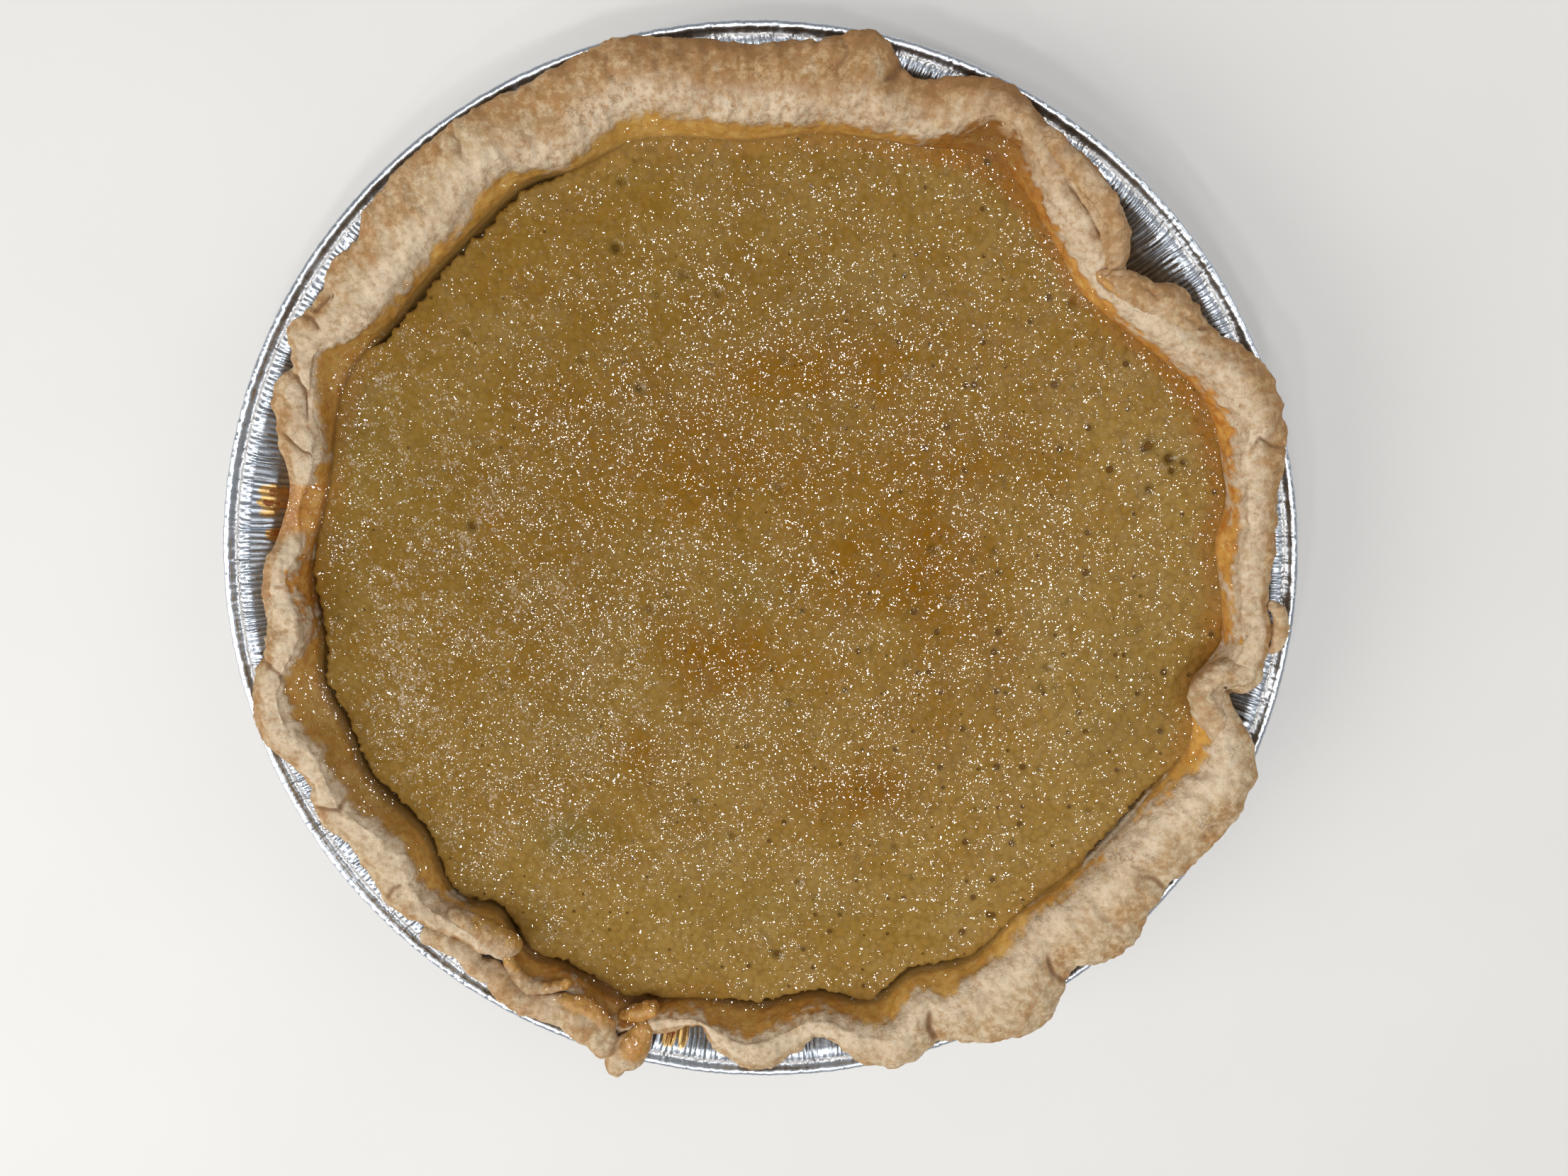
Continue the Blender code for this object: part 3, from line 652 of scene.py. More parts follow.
# Creases pressed or torn into the rolled edge: (angle, radius) points, depth and half width
CREASES = (
    (((54.4, 102.6), (52.0, 101.8), (50.0, 101.5), (47.6, 100.2), (46.2, 98.9)), 1.5, 0.55),
    (((43.9, 97.2), (43.9, 94.4), (43.0, 93.5), (41.2, 93.9)), 1.3, 0.5),
    (((39.9, 99.4), (38.2, 100.2), (37.4, 99.4)), 0.9, 0.6),
    (((31.3, 107.0), (32.2, 104.4), (34.0, 102.6), (35.6, 101.0)), 1.0, 0.5),
    (((16.4, 112), (17.2, 109), (18.6, 106.4), (17.6, 104.6)), 0.9, 0.45),
    (((347.9, 104.6), (348.6, 102.4), (348.9, 100.4), (348.7, 99.2), (348.3, 98.0)), 2.3, 0.6),
    (((348.6, 98.3), (348.4, 97.7)), 2.2, 0.6),
    (((348.2, 97.6), (348.9, 96.2), (348.5, 94.8)), 0.5, 0.4),
    (((244.3, 103.4), (247.1, 102.9), (250.0, 104.6)), 0.7, 0.6),
    (((153.6, 105.2), (154.0, 103.6), (154.9, 101.3), (156.0, 99.9), (158.5, 98.6)), 1.3, 0.5),
    (((308.4, 112.5), (307.8, 107), (308.8, 102)), 0.9, 0.7),
    (((291.6, 110), (291.4, 105.5), (292.3, 101)), 0.9, 0.8),
    (((324.0, 111), (324.4, 106.5), (323.6, 102.5)), 0.8, 0.7),
    (((333.6, 112), (333.2, 110), (332.2, 109.4), (331.0, 110.6)), 0.8, 0.35),
    (((147.6, 109), (147.2, 105.8), (147.9, 103.0)), 1.0, 0.5),
    (((160.4, 103.4), (161.2, 101.2), (162.1, 98.6), (162.3, 95.6)), 1.4, 0.45),
    (((146.9, 106.4), (145.6, 105.8), (144.4, 105.4), (143.4, 104.6)), 1.0, 0.5),
    (((182.8, 104.4), (184.4, 101.6), (183.9, 98.4)), 0.5, 0.5),
    (((187.0, 106.5), (188.6, 103.8), (190.4, 101.4)), 0.8, 0.6),
    (((205.6, 108.2), (206.6, 105.4), (207.6, 102.2), (206.4, 100.4)), 0.9, 0.6),
    (((219.8, 107.2), (219.2, 104.2), (219.6, 101.2)), 0.8, 0.7),
    (((74.6, 109.6), (75.0, 106.6), (76.4, 104.0)), 1.1, 0.7),
    (((81.6, 111.6), (80.4, 108), (81.6, 104.4)), 0.7, 0.6),
    (((104.6, 112), (105.2, 107.6), (104.4, 103.6)), 0.6, 0.6),
    (((122.6, 111), (122.2, 107.4), (123.0, 104)), 0.6, 0.5),
    (((129.0, 110), (129.4, 106), (128.6, 102)), 0.5, 0.6))


def between(value, begins, full, ends, ended):
    """A smooth step up and a smooth step down again."""
    return smooth(begins, full, value) * (1 - smooth(ends, ended, value))


def inside_tin(height):
    """Radius of the space inside the tin's pleated wall at a height, with the gap kept clear."""
    radii, heights = np.array([CORNER, SHOULDER, STEP, RIDGE]).T
    run, climb = SHOULDER[0] - CORNER[0], SHOULDER[1] - CORNER[1]
    return np.interp(height, heights, radii) - (TIN_WALL / 2 + 0.7) * math.hypot(run, climb) / climb


def spline(points, count):
    """Rows on a clamped cubic spline whose control points are given one array for each."""
    net = np.array(points)
    pieces = len(net) - 3
    knots = np.concatenate([[0.0] * 3, np.arange(pieces + 1), [pieces] * 3])
    at = np.linspace(0, pieces, count)
    at[-1] -= 1e-9
    weight = ((knots[:-1] <= at[:, None]) & (at[:, None] < knots[1:])).astype(float)
    for degree in (1, 2, 3):
        spans = knots[degree:] - knots[:-degree]
        spans = np.where(spans > 0, spans, 1.0)
        rising = (at[:, None] - knots[:-degree]) / spans
        weight = weight[:, :-1] * rising[:, :-1] + weight[:, 1:] * (1 - rising[:, 1:])
    return np.tensordot(weight, net, axes=1)


def rolled_edge(angles, rows):
    """The visible pastry, from the tin's wall up over the crest and down to the filling."""
    outer = closed_curve(OUTER_EDGE, angles)
    amber = closed_curve(AMBER_EDGE, angles)
    crest = closed_curve(CREST, angles)
    edge = closed_curve(FILLING_EDGE, angles) + GAP
    shrunk = closed_curve(SHRINKAGE, angles)
    low = np.minimum(crest - 32.0, 4.0) / 4.0
    width = outer - amber
    middle = outer - np.minimum(2.4 + 0.35 * width, 0.65 * width)
    broad = np.minimum(width / 8.0, 1.0)
    line_height = np.minimum(0.30 * AMBER_HEIGHT + 0.70 * crest, 31.2 + 0.9 * (amber - edge))
    fill = np.ones_like(outer)
    hidden = np.minimum(edge, inside_tin(24.0) - 2.6)
    net = [(inside_tin(LEAVES_TIN), LEAVES_TIN),
           (np.minimum(outer - 1.4, inside_tin(25.5) - 0.7), 25.5),
           (np.minimum(outer - 0.6, RIDGE[0] - 3.8), 30.4),
           (np.minimum(outer + 0.2, RIDGE[0] + 0.3), np.minimum(WIDEST - 0.4, crest - 1.4)),
           (outer + 0.5, np.minimum(WIDEST + 0.3, crest - 0.6)),
           (outer - 0.4, np.minimum(WIDEST + 2.2, crest - 0.2)),
           (middle + 1.8 * broad, crest + 0.7),
           (middle - 1.9 * broad, crest + 0.4),
           (0.2 * middle + 0.8 * amber + 0.6 * broad, 0.9 * crest + 0.1 * AMBER_HEIGHT + 0.3 * low),
           (amber - 0.2, np.minimum(line_height, crest - 0.9)),
           (0.6 * edge + 0.4 * amber + 0.1 * shrunk, 28.9),
           (edge + 0.8 + 0.25 * shrunk, 27.0),
           (edge + 0.05 + 0.3 * shrunk, 25.9),
           (np.minimum(hidden + 0.3 * shrunk, inside_tin(24.0) - 2.0), 24.5)]
    return [spline([place[part] * fill for place in net], rows) for part in (0, 1)]


def wrinkle(grid, out, strength):
    """Push a pastry grid in and out along its normals: swellings, puckers and a fine crumb.

    The puckers run across the edge, so their noise is stretched along the radius.
    """
    around, radius = angle_and_radius(grid)
    polar = np.stack([around * ARC, radius * 0.38, grid[..., 2] * 0.4], -1)
    swell = 0.60 * layered(grid, 8.0, 3, 2)
    pucker = 0.42 * (0.55 - np.abs(layered(polar, 3.0, 17, 3, 0.6))) + 0.18 * layered(polar, 1.8, 23, 2)
    crumb = 0.23 * layered(grid, 1.9, 41, 2, 0.6)
    ridge = 0.34 * (0.5 - np.abs(layered(grid, 4.2, 57, 2)))
    wavy = radius + 0.7 * noise(polar, 6.0, 59)
    leaves = 0.12 * between(around % 360, *LEAFY) * np.sin(2 * math.pi * wavy / 1.3)
    return grid + out * (strength * (swell + pucker + crumb + ridge + leaves))[..., None]


def carve(grid, shaped, out, above):
    """Press the creases into a shaped pastry grid, and give how deep in a crease each point is.

    Every crease has a narrow and a wide trough across it, and runs out at its ends.
    """
    crease = np.zeros(grid.shape[:2])
    for line, depth, width in CREASES:
        away, share = to_segments(grid[..., :2], line)
        fade = np.minimum(1.0, 4 * np.minimum(share + 0.08, 1.08 - share))
        narrow, wide = [bell(away, 0, reach) * fade * above for reach in (width, 3.2 * width)]
        shaped = shaped - out * (0.62 * depth * narrow + 0.38 * depth * wide)[..., None]
        crease = np.maximum(crease, np.minimum(1.0, depth) * narrow)
    return shaped, crease


def under_ceiling(height):
    """Heights pressed softly under the highest point that the pie may reach."""
    over = np.maximum(height - CEILING, 0)
    return np.minimum(height, CEILING) + ABOVE_CEILING * np.tanh(over / ABOVE_CEILING)


def make_crust(material):
    """The pastry case: a spline section round the tin, with puckers, creases and painted zones."""
    angles = np.arange(CRUST_COLUMNS) * 360.0 / CRUST_COLUMNS
    fill = np.ones_like(angles)
    edge = closed_curve(FILLING_EDGE, angles) + GAP
    under = TIN_WALL + GAP
    floor = under + CRUST_FLOOR
    low = [(FLOOR_RADIUS, under), (BASE_RADIUS - 1.2, under), (inside_tin(3.0) - 0.2, 3.0),
           (inside_tin(12.0), 12.0)]
    inside = [(np.minimum(edge - 2.0, HALFWAY[0]), HALFWAY[1]), (HEEL_RADIUS, floor + 1.8),
              (FLOOR_RADIUS + 1.0, floor)]
    visible = rolled_edge(angles, CRUST_ROWS)
    radius, height = [np.concatenate([[place[part] * fill for place in low], visible[part],
                                      [place[part] * fill for place in inside]]) for part in (0, 1)]
    grid = on_circle(radius, np.radians(angles), height)
    out = normals(grid)
    row = np.arange(len(radius))[:, None] - len(low)
    above = smooth(30.8, 33.0, height) * (row > 0)
    slope = smooth(26.4, 29.5, height) * (row > CRUST_ROWS * 0.45)
    caramel = closed_curve(CARAMEL, angles)
    ragged = 0.85 * layered(grid, 2.2, 71, 3, 0.62) + 0.3 * noise(grid, 9.0, 75)
    past = radius - closed_curve(AMBER_EDGE, angles) + ragged * (0.5 + 0.7 * caramel)
    inner = row > CRUST_ROWS * 0.42
    amber = np.where(inner, 1 - smooth(-0.7, 0.3, past), 0.0)
    through = between(angles + 0.5 * noise(grid, 2.5, 77), *SPILLWAY) * (row > CRUST_ROWS * 0.22)
    amber = np.maximum(amber, through)
    near_line = bell(np.minimum(past, 0), 0, 1.5)
    caramel = caramel * np.where(height < 28.6, 1.0, 0.40 + 0.60 * near_line)
    caramel = np.maximum(caramel, 0.85 * through * smooth(96.5, 98.5, radius))
    loose = np.maximum(above * (1 - 0.55 * amber), 0.40 * slope)
    shaped = wrinkle(grid, out, loose)
    shaped, crease = carve(grid, shaped, out, above)
    powder = smooth(-0.7, 0.2, past) * (1 - smooth(2.5, 8.0, past + 1.5 * noise(grid, 5.0, 85))) * inner
    powder = powder * (1 - 0.8 * bell(angles, DARK_CORNER - 1, 6))
    powder = np.clip(powder * (1.0 + 0.4 * noise(grid, 6.0, 83)), 0, 1)
    glaze = 0.75 * amber * smooth(0.15, 0.55, out[..., 2])
    glaze = glaze * (1 - smooth(-1.8, 0.0, past + 1.2 * noise(grid, 3.0, 87)))
    glaze = glaze * np.clip(0.65 + 0.6 * noise(grid, 5.0, 89), 0.1, 1)
    corner = bell(angles, DARK_CORNER, 5)
    glaze = np.maximum(glaze * (1 - 0.5 * corner), 0.5 * through)
    browning = closed_curve(BROWNING, angles)
    outside = smooth(-1.5, 4.5, radius - closed_curve(OUTER_EDGE, angles) + 4.5)
    toast = browning * (0.55 + 0.55 * outside) + 0.22 * layered(grid, 8.0, 91, 3) * above
    streaks = np.stack([angles * ARC + 0 * radius, radius * 0.3, 0 * radius], -1)
    toast = np.clip(toast + 0.30 * browning * layered(streaks, 1.5, 93, 2), 0, 1.25)
    toast = np.maximum(toast, smooth(0.0, 1.0, (31.5 - height) / 2.0) * (row < CRUST_ROWS * 0.3))
    shaped[..., 2] = under_ceiling(shaped[..., 2])
    foot = 1 - smooth(26.6, 28.6, shaped[..., 2])
    foot = np.maximum(foot, np.maximum(0.5 * through * smooth(97.5, 99.5, radius), 0.8 * corner))
    # painted light and shade on the soaked slope, set by angle
    painted_slope_light_shade = closed_curve(PAINTED_SLOPE_LIGHT_SHADE, angles) + 0 * radius
    paint = {"amber": amber, "flour": powder, "toast": toast, "crease": crease, "caramel": caramel,
             "glaze": glaze, "foot": foot, "painted_slope_light_shade": painted_slope_light_shade}
    return turned_piece("pastry_case", shaped, material, paint)


# Separate tongues of pastry: angle, radius, height, half width and half depth along each
TONGUES = {
    "torn_flap": (
        (226.2, 106.5, 34.5, 2.1, 1.9), (230.7, 104.2, 34.6, 2.6, 2.5), (233.2, 105.6, 34.5, 2.5, 2.5),
        (235.7, 104.6, 34.3, 2.7, 2.4), (237.9, 106.9, 34.2, 2.8, 2.3), (240.4, 107.8, 34.2, 2.8, 2.3),
        (243.0, 106.2, 34.2, 3.6, 2.4), (246.2, 104.8, 34.2, 4.4, 2.5), (248.8, 105.6, 34.4, 5.0, 2.6),
        (250.7, 108.2, 34.3, 4.2, 2.4), (251.6, 110.8, 34.0, 3.0, 2.0)),
    "torn_tip": (
        (255.6, 104.4, 32.2, 2.3, 1.8), (255.0, 107.6, 32.7, 3.7, 2.0), (254.2, 111.2, 33.1, 4.6, 2.1),
        (253.6, 114.2, 33.2, 3.0, 1.8), (253.6, 116.0, 33.2, 1.6, 1.4)),
    "glazed_bit": (
        (252.4, 103.6, 30.6, 1.3, 1.5), (254.2, 101.9, 30.9, 1.9, 1.8), (256.0, 99.6, 31.2, 1.5, 1.7)),
    "roll_end": (
        (227.0, 100.0, 33.4, 2.6, 2.5), (230.6, 99.0, 33.4, 3.2, 2.9), (233.4, 98.1, 33.3, 3.5, 3.0),
        (235.5, 97.2, 33.1, 2.9, 2.7)),
    "fold_head": (
        (343.2, 104.2, 32.8, 2.2, 2.2), (344.6, 101.4, 34.0, 2.5, 2.4), (346.2, 98.4, 34.7, 3.0, 2.9),
        (348.3, 97.2, 34.9, 3.3, 3.2), (350.2, 98.3, 35.0, 3.1, 3.1), (351.0, 100.8, 35.1, 2.8, 2.9),
        (351.4, 104.0, 34.9, 2.6, 2.6)),
    "lower_lobe": (
        (43.8, 95.0, 34.2, 1.5, 1.7), (42.4, 96.0, 34.8, 2.2, 2.3), (40.6, 97.4, 35.1, 2.6, 2.6),
        (38.4, 99.2, 35.3, 2.7, 2.7), (36.2, 101.6, 35.4, 2.9, 2.7), (33.2, 103.4, 35.4, 2.6, 2.3)),
    "upper_lobe": (
        (43.9, 98.0, 34.8, 1.9, 2.0), (45.4, 100.6, 35.4, 2.6, 2.5), (47.6, 102.8, 35.8, 2.9, 2.7),
        (50.6, 104.4, 36.2, 2.8, 2.5), (54.4, 105.6, 36.4, 2.5, 2.1), (58.6, 107.0, 36.4, 1.9, 1.6)),
    "curled_flake": (
        (359.6, 107.0, 34.9, 0.9, 1.0), (358.9, 108.4, 35.4, 1.3, 1.3), (357.4, 109.3, 35.6, 1.5, 1.4),
        (355.6, 109.3, 35.5, 1.4, 1.3), (354.3, 108.4, 35.2, 0.9, 0.9)),
    "scoop_lip": (
        (234.6, 98.6, 33.0, 1.1, 1.1), (236.2, 100.6, 33.6, 1.5, 1.4), (238.1, 102.8, 33.7, 1.8, 1.5),
        (240.4, 103.9, 33.6, 1.9, 1.5), (242.5, 101.9, 33.5, 1.7, 1.4), (244.3, 99.4, 32.8, 1.3, 1.2)),
}
TONGUE_SIDES = 56
TONGUE_RINGS = 120


def sampled(stations, count):
    """Values at count even places on a smooth curve through the stations.

    Cubic stretches; the slope at a station is half the step between its neighbours.
    """
    table = np.array(stations, float)
    table[:, :3] = on_circle(table[:, 1], np.radians(table[:, 0]), table[:, 2])
    ends = np.concatenate([2 * table[:1] - table[1:2], table, 2 * table[-1:] - table[-2:-1]])
    at = np.linspace(0, len(table) - 1 - 1e-9, count)
    i = at.astype(int)
    t = (at - i)[:, None]
    a, b, c, d = ends[i], ends[i + 1], ends[i + 2], ends[i + 3]
    return 0.5 * (2 * b + (c - a) * t + (2 * a - 5 * b + 4 * c - d) * t * t
                  + (3 * b - a - 3 * c + d) * t ** 3)


# Where a tongue is soaked with syrup: from angle, to angle, and how far out
SOAKED = {"torn_flap": (244.0, 252.6, 103.4), "torn_tip": (253.4, 260.0, 112.0),
          "glazed_bit": (250.0, 260.0, 120.0), "roll_end": (225.0, 240.0, 96.6),
          "lower_lobe": (30.0, 46.0, 94.6), "scoop_lip": (230.0, 250.0, 101.2)}


def make_tongue(name, stations, material):
    """A rope of pastry with elliptical sections and round ends, puckered like the rolled edge."""
    route = sampled(stations, TONGUE_RINGS)
    caps = 0.75 * route[[0, -1], 3]
    start, end = route[0] - route[1], route[-1] - route[-2]
    start, end = start / np.linalg.norm(start[:3]), end / np.linalg.norm(end[:3])
    cap = np.linspace(1, 0, 10, endpoint=False)[:, None]
    route = np.concatenate([route[:1] + cap * caps[0] * start * [1, 1, 1, 0, 0], route,
                            route[-1:] + cap[::-1] * caps[1] * end * [1, 1, 1, 0, 0]])
    middle, width, depth = route[:, :3], route[:, 3:4], route[:, 4:5]
    length = np.concatenate([[0.0], np.cumsum(np.linalg.norm(np.diff(middle, axis=0), axis=1))])
    along = np.gradient(middle, axis=0)
    along /= np.linalg.norm(along, axis=1)[:, None]
    to_end = np.minimum(length, length[-1] - length)[:, None]
    rounding = np.sqrt(np.clip(1 - (1 - np.minimum(to_end / width, 1)) ** 2, 0.0025, 1))
    side = np.cross(along, (0, 0, 1))
    side /= np.linalg.norm(side, axis=1)[:, None]
    up = np.cross(side, along)
    around = np.arange(TONGUE_SIDES) * 2 * math.pi / TONGUE_SIDES
    centre = middle[:, None]
    grid = (centre + (width * rounding * side)[:, None] * np.cos(around)[None, :, None]
            + (depth * rounding * up)[:, None] * np.sin(around)[None, :, None])
    out = normals(grid)
    out *= np.sign(((grid - centre) * out).sum(-1, keepdims=True) + 1e-9)
    shaped = wrinkle(grid, out, 0.8 * np.ones(grid.shape[:2]) * rounding)
    shaped, crease = carve(grid, shaped, out, smooth(0.0, 0.6, out[..., 2]))
    shaped[..., 2] = under_ceiling(shaped[..., 2])
    angles, radius = angle_and_radius(shaped)
    angles = angles % 360
    start, end, reach = SOAKED.get(name, (0.0, 0.0, 0.0))
    ragged = layered(shaped, 2.4, 61, 3)
    amber = smooth(-1.0, 1.0, reach - radius + 0.9 * ragged)
    amber = amber * smooth(-0.8, 0.8, np.minimum(angles - start, end - angles) + 0.5 * ragged)
    toast = np.clip(closed_curve(BROWNING, angles) + 0.22 * layered(shaped, 7.0, 91, 3), 0, 1)
    flour = np.clip(0.45 * noise(shaped, 4.0, 13) + 0.15, 0, 1)
    paint = {"amber": amber, "flour": flour, "toast": toast, "crease": crease, "glaze": 0.4 * amber,
             "foot": 0 * radius, "painted_slope_light_shade": 0.85 + 0 * radius,
             "caramel": 0.6 * closed_curve(CARAMEL, angles)}
    return turned_piece(name, shaped[:, ::-1], material, paint)


# ---------------------------------------------------------------- filling
HALF_RINGS = 142
SMALL_BUBBLES = 260
# Radius the inner rings are spaced for, and the one at which the edge's crumbs are counted
RING_REACH = 96.0
EDGE_RADIUS = 95
# Open bubbles in the filling: x and y, radius and depth
PITS = (
    (-28.6, 71.4, 1.1, 1.2), (86.6, 28.6, 1.3, 1.6), (89.4, 27.9, 0.8, 0.9), (82.0, 31.4, 1.5, 0.6),
    (87.2, 26.1, 0.9, 0.7), (82.6, 22.2, 1.0, 0.7), (-24.6, 43.2, 1.0, 0.8), (-61.0, 14.0, 1.2, 0.7),
    (4.2, -85.2, 1.2, 0.9))
# Coloured patches: x, y, reach across and along, strength
ORANGE_PATCHES = ((14.0, 46.0, 26, 10, 0.65), (-6.0, 28.0, 38, 18, 0.6), (-8.0, -16.0, 13, 8, 1.0),
                  (21.0, -46.0, 16, 10, 0.8), (12.0, 44.0, 8, 6, 0.8), (-56.0, 14.0, 7, 5, 0.6),
                  (46.0, -8.0, 14, 26, 0.5), (34.0, 14.0, 24, 34, 0.75), (-26.0, -36.0, 8, 5, 0.5))
OLIVE_PATCHES = ((-2.0, -0.5, 7, 5, 0.5), (-42.0, -57.0, 8, 5, 1.0), (-78.0, 26.0, 16, 20, 0.4),
                 (78.0, -20.0, 12, 26, 0.3), (0.0, -74.0, 34, 9, 0.3), (-40.0, -30.0, 12, 8, 0.2))


def filling_shape(x, y, share, touching):
    """Height of the filling's top: the dish of the whole, slow swells and small crowded lumps.

    It slopes down to the pastry where it touches that, and ends in a broken edge where it doesn't.
    """
    angle = np.arctan2(y, x)
    drop = (1 - 0.6 * touching) * share ** (400 - 340 * touching)
    swell = FILLING_SWELL * (1 - drop) - FILLING_DISH * (1 - share) ** 1.5
    uneven = 0.25 * np.sin(3 * angle + 9 * share) + 0.18 * np.sin(7 * angle - 5 * share)
    place = np.stack([x, y, 0 * x], -1)
    slow = 0.32 * noise(place, 17.0, 101) + 0.20 * noise(place, 7.5, 103)
    lumps = 0.13 * noise(place, 3.4, 107) + 0.07 * noise(place, 1.9, 109)
    level = smooth(1.0, 0.93, share) * smooth(0.02, 0.4, share)
    return FILLING_EDGE_HEIGHT + swell + uneven * level + slow + lumps


def make_filling(material):
    """The filling: rings of points, eight more in each, out to the uneven, crumbly edge."""
    rings = np.arange(1, HALF_RINGS + 1)
    reach = np.where(rings < HALF_RINGS, 0.9985 * rings / (HALF_RINGS - 1), 1.0)
    share = np.concatenate([[0.0], np.repeat(reach, 8 * rings)])
    angle = np.concatenate([[0.0]] + [np.arange(8 * ring) * 45.0 / ring for ring in rings])
    turn = np.radians(angle)
    edge = closed_curve(FILLING_EDGE, angle) - 0.25
    shrunk = closed_curve(SHRINKAGE, angle)
    rim_place = on_circle(EDGE_RADIUS, turn, 0)
    nibble = 0.80 * layered(rim_place, 1.9, 131, 3, 0.75) + 0.35 * noise(rim_place, 6.0, 139)
    touching = 1 - np.clip(shrunk / 0.7, 0, 1)
    edge = edge + 0.25 + 2.9 * touching + (0.25 + 0.35 * np.clip(shrunk, 0, 1.2)) * nibble
    radius = share * (edge * share ** 3 + RING_REACH * (1 - share ** 3))
    x, y = radius * np.cos(turn), radius * np.sin(turn)
    height = filling_shape(x, y, share, touching)
    place = np.stack([x, y, 0 * x], -1)
    draw = np.random.default_rng(29)
    pits = list(PITS)
    for _ in range(SMALL_BUBBLES):
        a, r = draw.uniform(0, 2 * math.pi), HALFWAY[0] * math.sqrt(draw.uniform(0.02, 1.0))
        size = 0.35 + 0.75 * draw.random() ** 4
        if math.cos(a - math.radians(5)) > 0.1 or draw.random() < 0.45:
            pits.append((r * math.cos(a), r * math.sin(a), size, size * draw.uniform(0.5, 1.1)))
    pit, halo = np.zeros_like(x), np.zeros_like(x)
    for px, py, size, depth in pits:
        away = np.hypot(x - px, y - py) / size
        near = away < 2.6
        bowl = np.exp(-away[near] ** 2.6)
        height[near] += -depth * bowl + 0.10 * size * bell(away[near], 1.3, 0.3)
        pit[near] = np.maximum(pit[near], bowl ** 1.8 * min(1.0, 0.4 + 0.5 * size))
        halo[near] = np.maximum(halo[near], 0.35 * np.exp(-(away[near] / 1.9) ** 4))
    height += 0.3 * touching * np.clip((share - 0.96) / 0.04, 0, 1) ** 1.6
    blotch = 0.35 * layered(place, 9.0, 151, 3)
    patch, olive = [np.max([strength * bell(x, px, wide) * bell(y, py, tall)
                            for px, py, wide, tall, strength in patches], axis=0)
                    for patches in (ORANGE_PATCHES, OLIVE_PATCHES)]
    patch = np.clip(patch + blotch * (0.3 + patch), 0, 1)
    olive = np.maximum(np.clip(olive * (1 + blotch), 0, 1), halo)
    wet = 0.50 + 0.22 * bell(radius, 48, 28) + 0.26 * layered(place, 9.0, 163, 3)
    low_side = smooth(-30, -85, y) * 0.10 + smooth(40, 95, x) * smooth(10, -60, y) * 0.05
    right_side = 0.12 * smooth(0, 70, x + 0.3 * y) - 0.16 * smooth(-40, -90, x)
    right_side -= 0.12 * bell(x, -50, 30) * bell(y, 58, 30)
    wet = np.clip(wet - low_side + right_side - 0.10, 0.0, 0.95) * (1 - 0.6 * pit)
    rim = smooth(0.95, 0.998, share) * (0.5 + 0.5 * noise(place, 3.0, 167)) * (0.35 + 0.65 * touching)
    rim = np.clip(rim + smooth(0.943, 0.968, share + 0.009 * noise(place, 2.0, 169)) * touching, 0, 1)
    # painted light: a pool of light painted on the filling, lighter towards the lower right and near its
    # edge
    painted_light_pool = smooth(-120, 150, x - y) + 0.42 * smooth(55, 92, radius)
    bubbly = 0.25 + 0.75 * smooth(-20, 60, x - 0.25 * y)
    count = 8 * HALF_RINGS
    last = len(x) - count
    turn, rim_radius = turn[last:], radius[last:]
    hidden = closed_curve(FILLING_EDGE, angle[last:])
    bottom = TIN_WALL + 2 * GAP + CRUST_FLOOR
    crumble = 0.45 * layered(on_circle(rim_radius, turn, 0), 2.0, 171, 3, 0.6)
    crumble = crumble * np.clip(shrunk[last:], 0.15, 1.2)
    side = [(rim_radius - 0.15 + 0.4 * crumble, 25.2), (rim_radius - 0.5 + crumble, 24.3),
            (np.minimum(rim_radius, inside_tin(24.0) - 3.6) - 0.9, 22.8),
            (np.minimum(hidden - 2.0, HALFWAY[0]) - 0.6, HALFWAY[1]), (HEEL_RADIUS - 0.6, bottom + 2.1),
            (FLOOR_RADIUS - 0.6, bottom)]
    points = np.concatenate([np.stack([x, y, height], -1)] + [on_circle(r, turn, z) for r, z in side]
                            + [[[0.0, 0.0, bottom]]])
    quads = last + band_faces(len(side) + 1, count)
    base, here = last + len(side) * count, np.arange(count)
    fan = np.stack([base + here, np.full(count, base + count), base + (here + 1) % count], 1)
    faces = np.concatenate([ring_faces(ring) for ring in rings]
                           + [quads[:, [0, 2, 1]], quads[:, [0, 3, 2]], fan])
    paint = {"patch": patch, "olive": olive, "pit": pit, "wet": wet, "rim": rim, "painted_light_pool": painted_light_pool,
             "bubbly": bubbly, "dark_rim": closed_curve(CARAMEL, angle)}
    side_paint = {"wet": 0.3, "rim": 0.8}
    extra = len(points) - len(x)
    for label, values in paint.items():
        paint[label] = np.concatenate([values, np.full(extra, side_paint.get(label, 0.0))])
    return mesh_piece("baked_filling", points, faces, material, paint)


def ring_faces(ring):
    """Triangles between a ring of 8 times ring points and the ring within it, or the middle point.

    Outward triangles join each outer step to the inner point at the same share of the turn, and
    inward ones each inner step to the outer point there.
    """
    inner_count, outer_count = max(1, 8 * (ring - 1)), 8 * ring
    outer = 1 + 4 * ring * (ring - 1)
    inner = outer - inner_count
    step = np.arange(outer_count)
    near = (step * inner_count + outer_count // 2) // outer_count % inner_count
    near_next = ((step + 1) * inner_count + outer_count // 2) // outer_count % inner_count
    ahead = outer + (step + 1) % outer_count
    out = np.stack([outer + step, ahead, inner + near], 1)
    back = np.stack([inner + near, ahead, inner + near_next], 1)[near != near_next]
    return np.concatenate([out, back]) if ring > 1 else out


# ---------------------------------------------------------------- room
TABLE_REACH = 3000.0
TABLE_HEIGHT = -0.05
# The camera: place in metres, lens in millimetres, leans to the side and back in degrees
CAMERA_PLACE = (0.0101, 0.0545, 0.2847)
LENS_LENGTH = 28.09
LEAN_ASIDE, LEAN_BACK = 0.98, -11.79
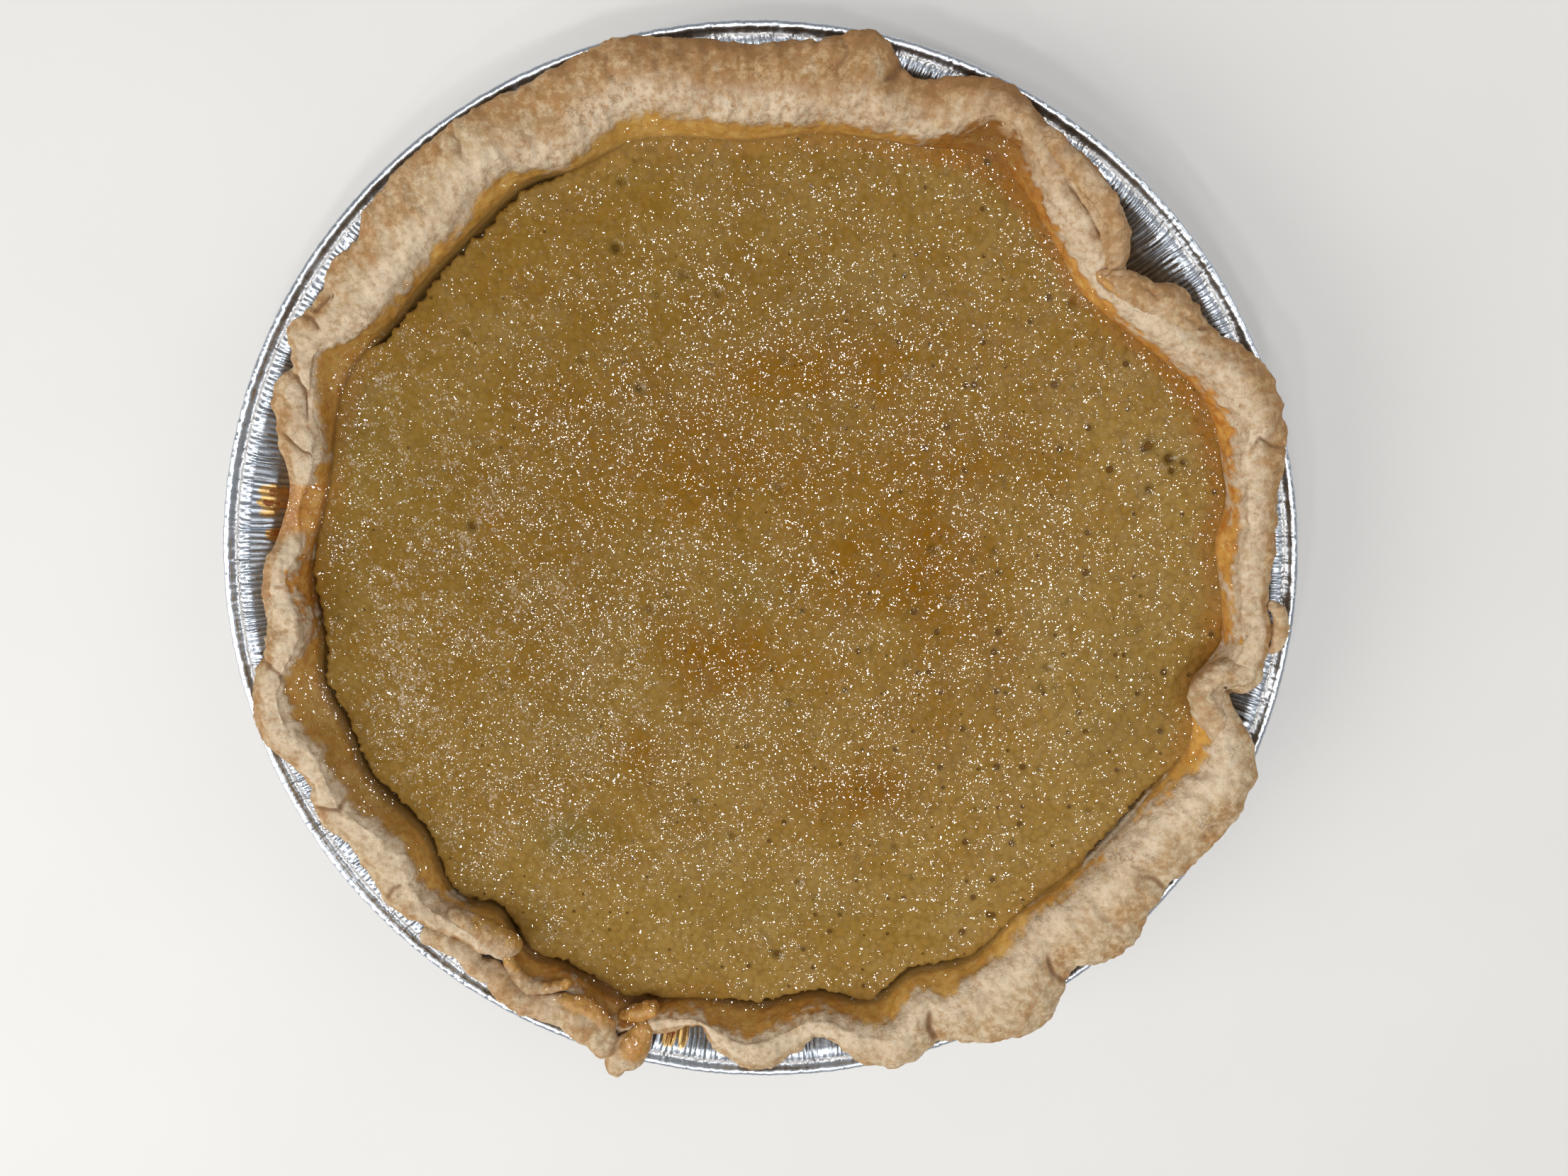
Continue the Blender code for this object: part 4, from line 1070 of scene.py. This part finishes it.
# Small lights overhead that make the sugar sparkle: x and y in metres, share of the power
SPARKS = ((-0.38, -0.12, 0.7), (0.22, 0.06, 1.3), (0.25, -0.36, 1.1), (-0.17, -0.50, 0.7),
          (-0.11, 0.24, 0.7), (-0.52, -0.34, 0.8), (-0.12, -0.82, 0.6))
# Their height and width in metres, and the full power in watts
SPARK_HEIGHT, SPARK_SIZE, SPARK_POWER = 1.30, 0.077, 1.6


def make_floor(material):
    """A wide pale table top under the pie."""
    corners = [(x * TABLE_REACH, y * TABLE_REACH, TABLE_HEIGHT)
               for x, y in ((-1, -1), (1, -1), (1, 1), (-1, 1))]
    floor = mesh_piece("table_top", corners, [[0, 1, 2, 3]], material)


def make_light(name, place, size, power, colour=(1.0, 1.0, 1.0)):
    """A round studio light that faces the pie: place and size in metres, power in watts."""
    lamp = bpy.data.lights.new(name, "AREA")
    lamp.shape = "DISK"
    lamp.size = size
    lamp.energy = power
    lamp.color = colour
    light = put(name, lamp)
    light.location = place
    light.rotation_euler = (-Vector(place)).to_track_quat("-Z", "Y").to_euler()


def make_camera():
    """The camera looks almost straight down, a little tipped, from 25 cm above the rim."""
    lens = bpy.data.cameras.new("camera")
    lens.sensor_width = 36.0
    lens.lens = LENS_LENGTH
    camera = put("camera", lens)
    camera.location = CAMERA_PLACE
    aside = Matrix.Rotation(math.radians(LEAN_ASIDE), 3, "Y")
    camera.rotation_euler = (aside @ Matrix.Rotation(math.radians(LEAN_BACK), 3, "X")).to_euler()
    bpy.context.scene.camera = camera


def make_room():
    """A broad soft light from the left, a weak one from the right, sparks and an even sky."""
    make_light("key", (-1.22, -0.50, 0.86), size=1.3, power=14.5, colour=(1.0, 0.985, 0.96))
    make_light("fill", (0.90, 0.45, 0.85), size=0.7, power=2.0)
    for index, (x, y, share) in enumerate(SPARKS):
        make_light(f"spark_{index}", (x, y, SPARK_HEIGHT), SPARK_SIZE, SPARK_POWER * share)
    world = bpy.data.worlds.new("room")
    world.use_nodes = True
    world.node_tree.nodes["Background"].inputs[0].default_value = (0.30, 0.298, 0.297, 1.0)
    bpy.context.scene.world = world
    bpy.context.scene.view_settings.view_transform = "Standard"


def main():
    """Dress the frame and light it."""
    foil, pastry, filling = foil_material(), pastry_material(), filling_material()
    tin = make_tin(foil)
    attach(tin, "root")
    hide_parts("tin")
    crust = make_crust(pastry)
    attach(crust, "root")
    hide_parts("crust")
    for name, stations in TONGUES.items():
        tongue = make_tongue(name, stations, pastry)
        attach(tongue, "root")
    middle = make_filling(filling)
    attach(middle, "root")
    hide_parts("filling")
    make_floor(floor_material())
    make_camera()
    make_room()


main()
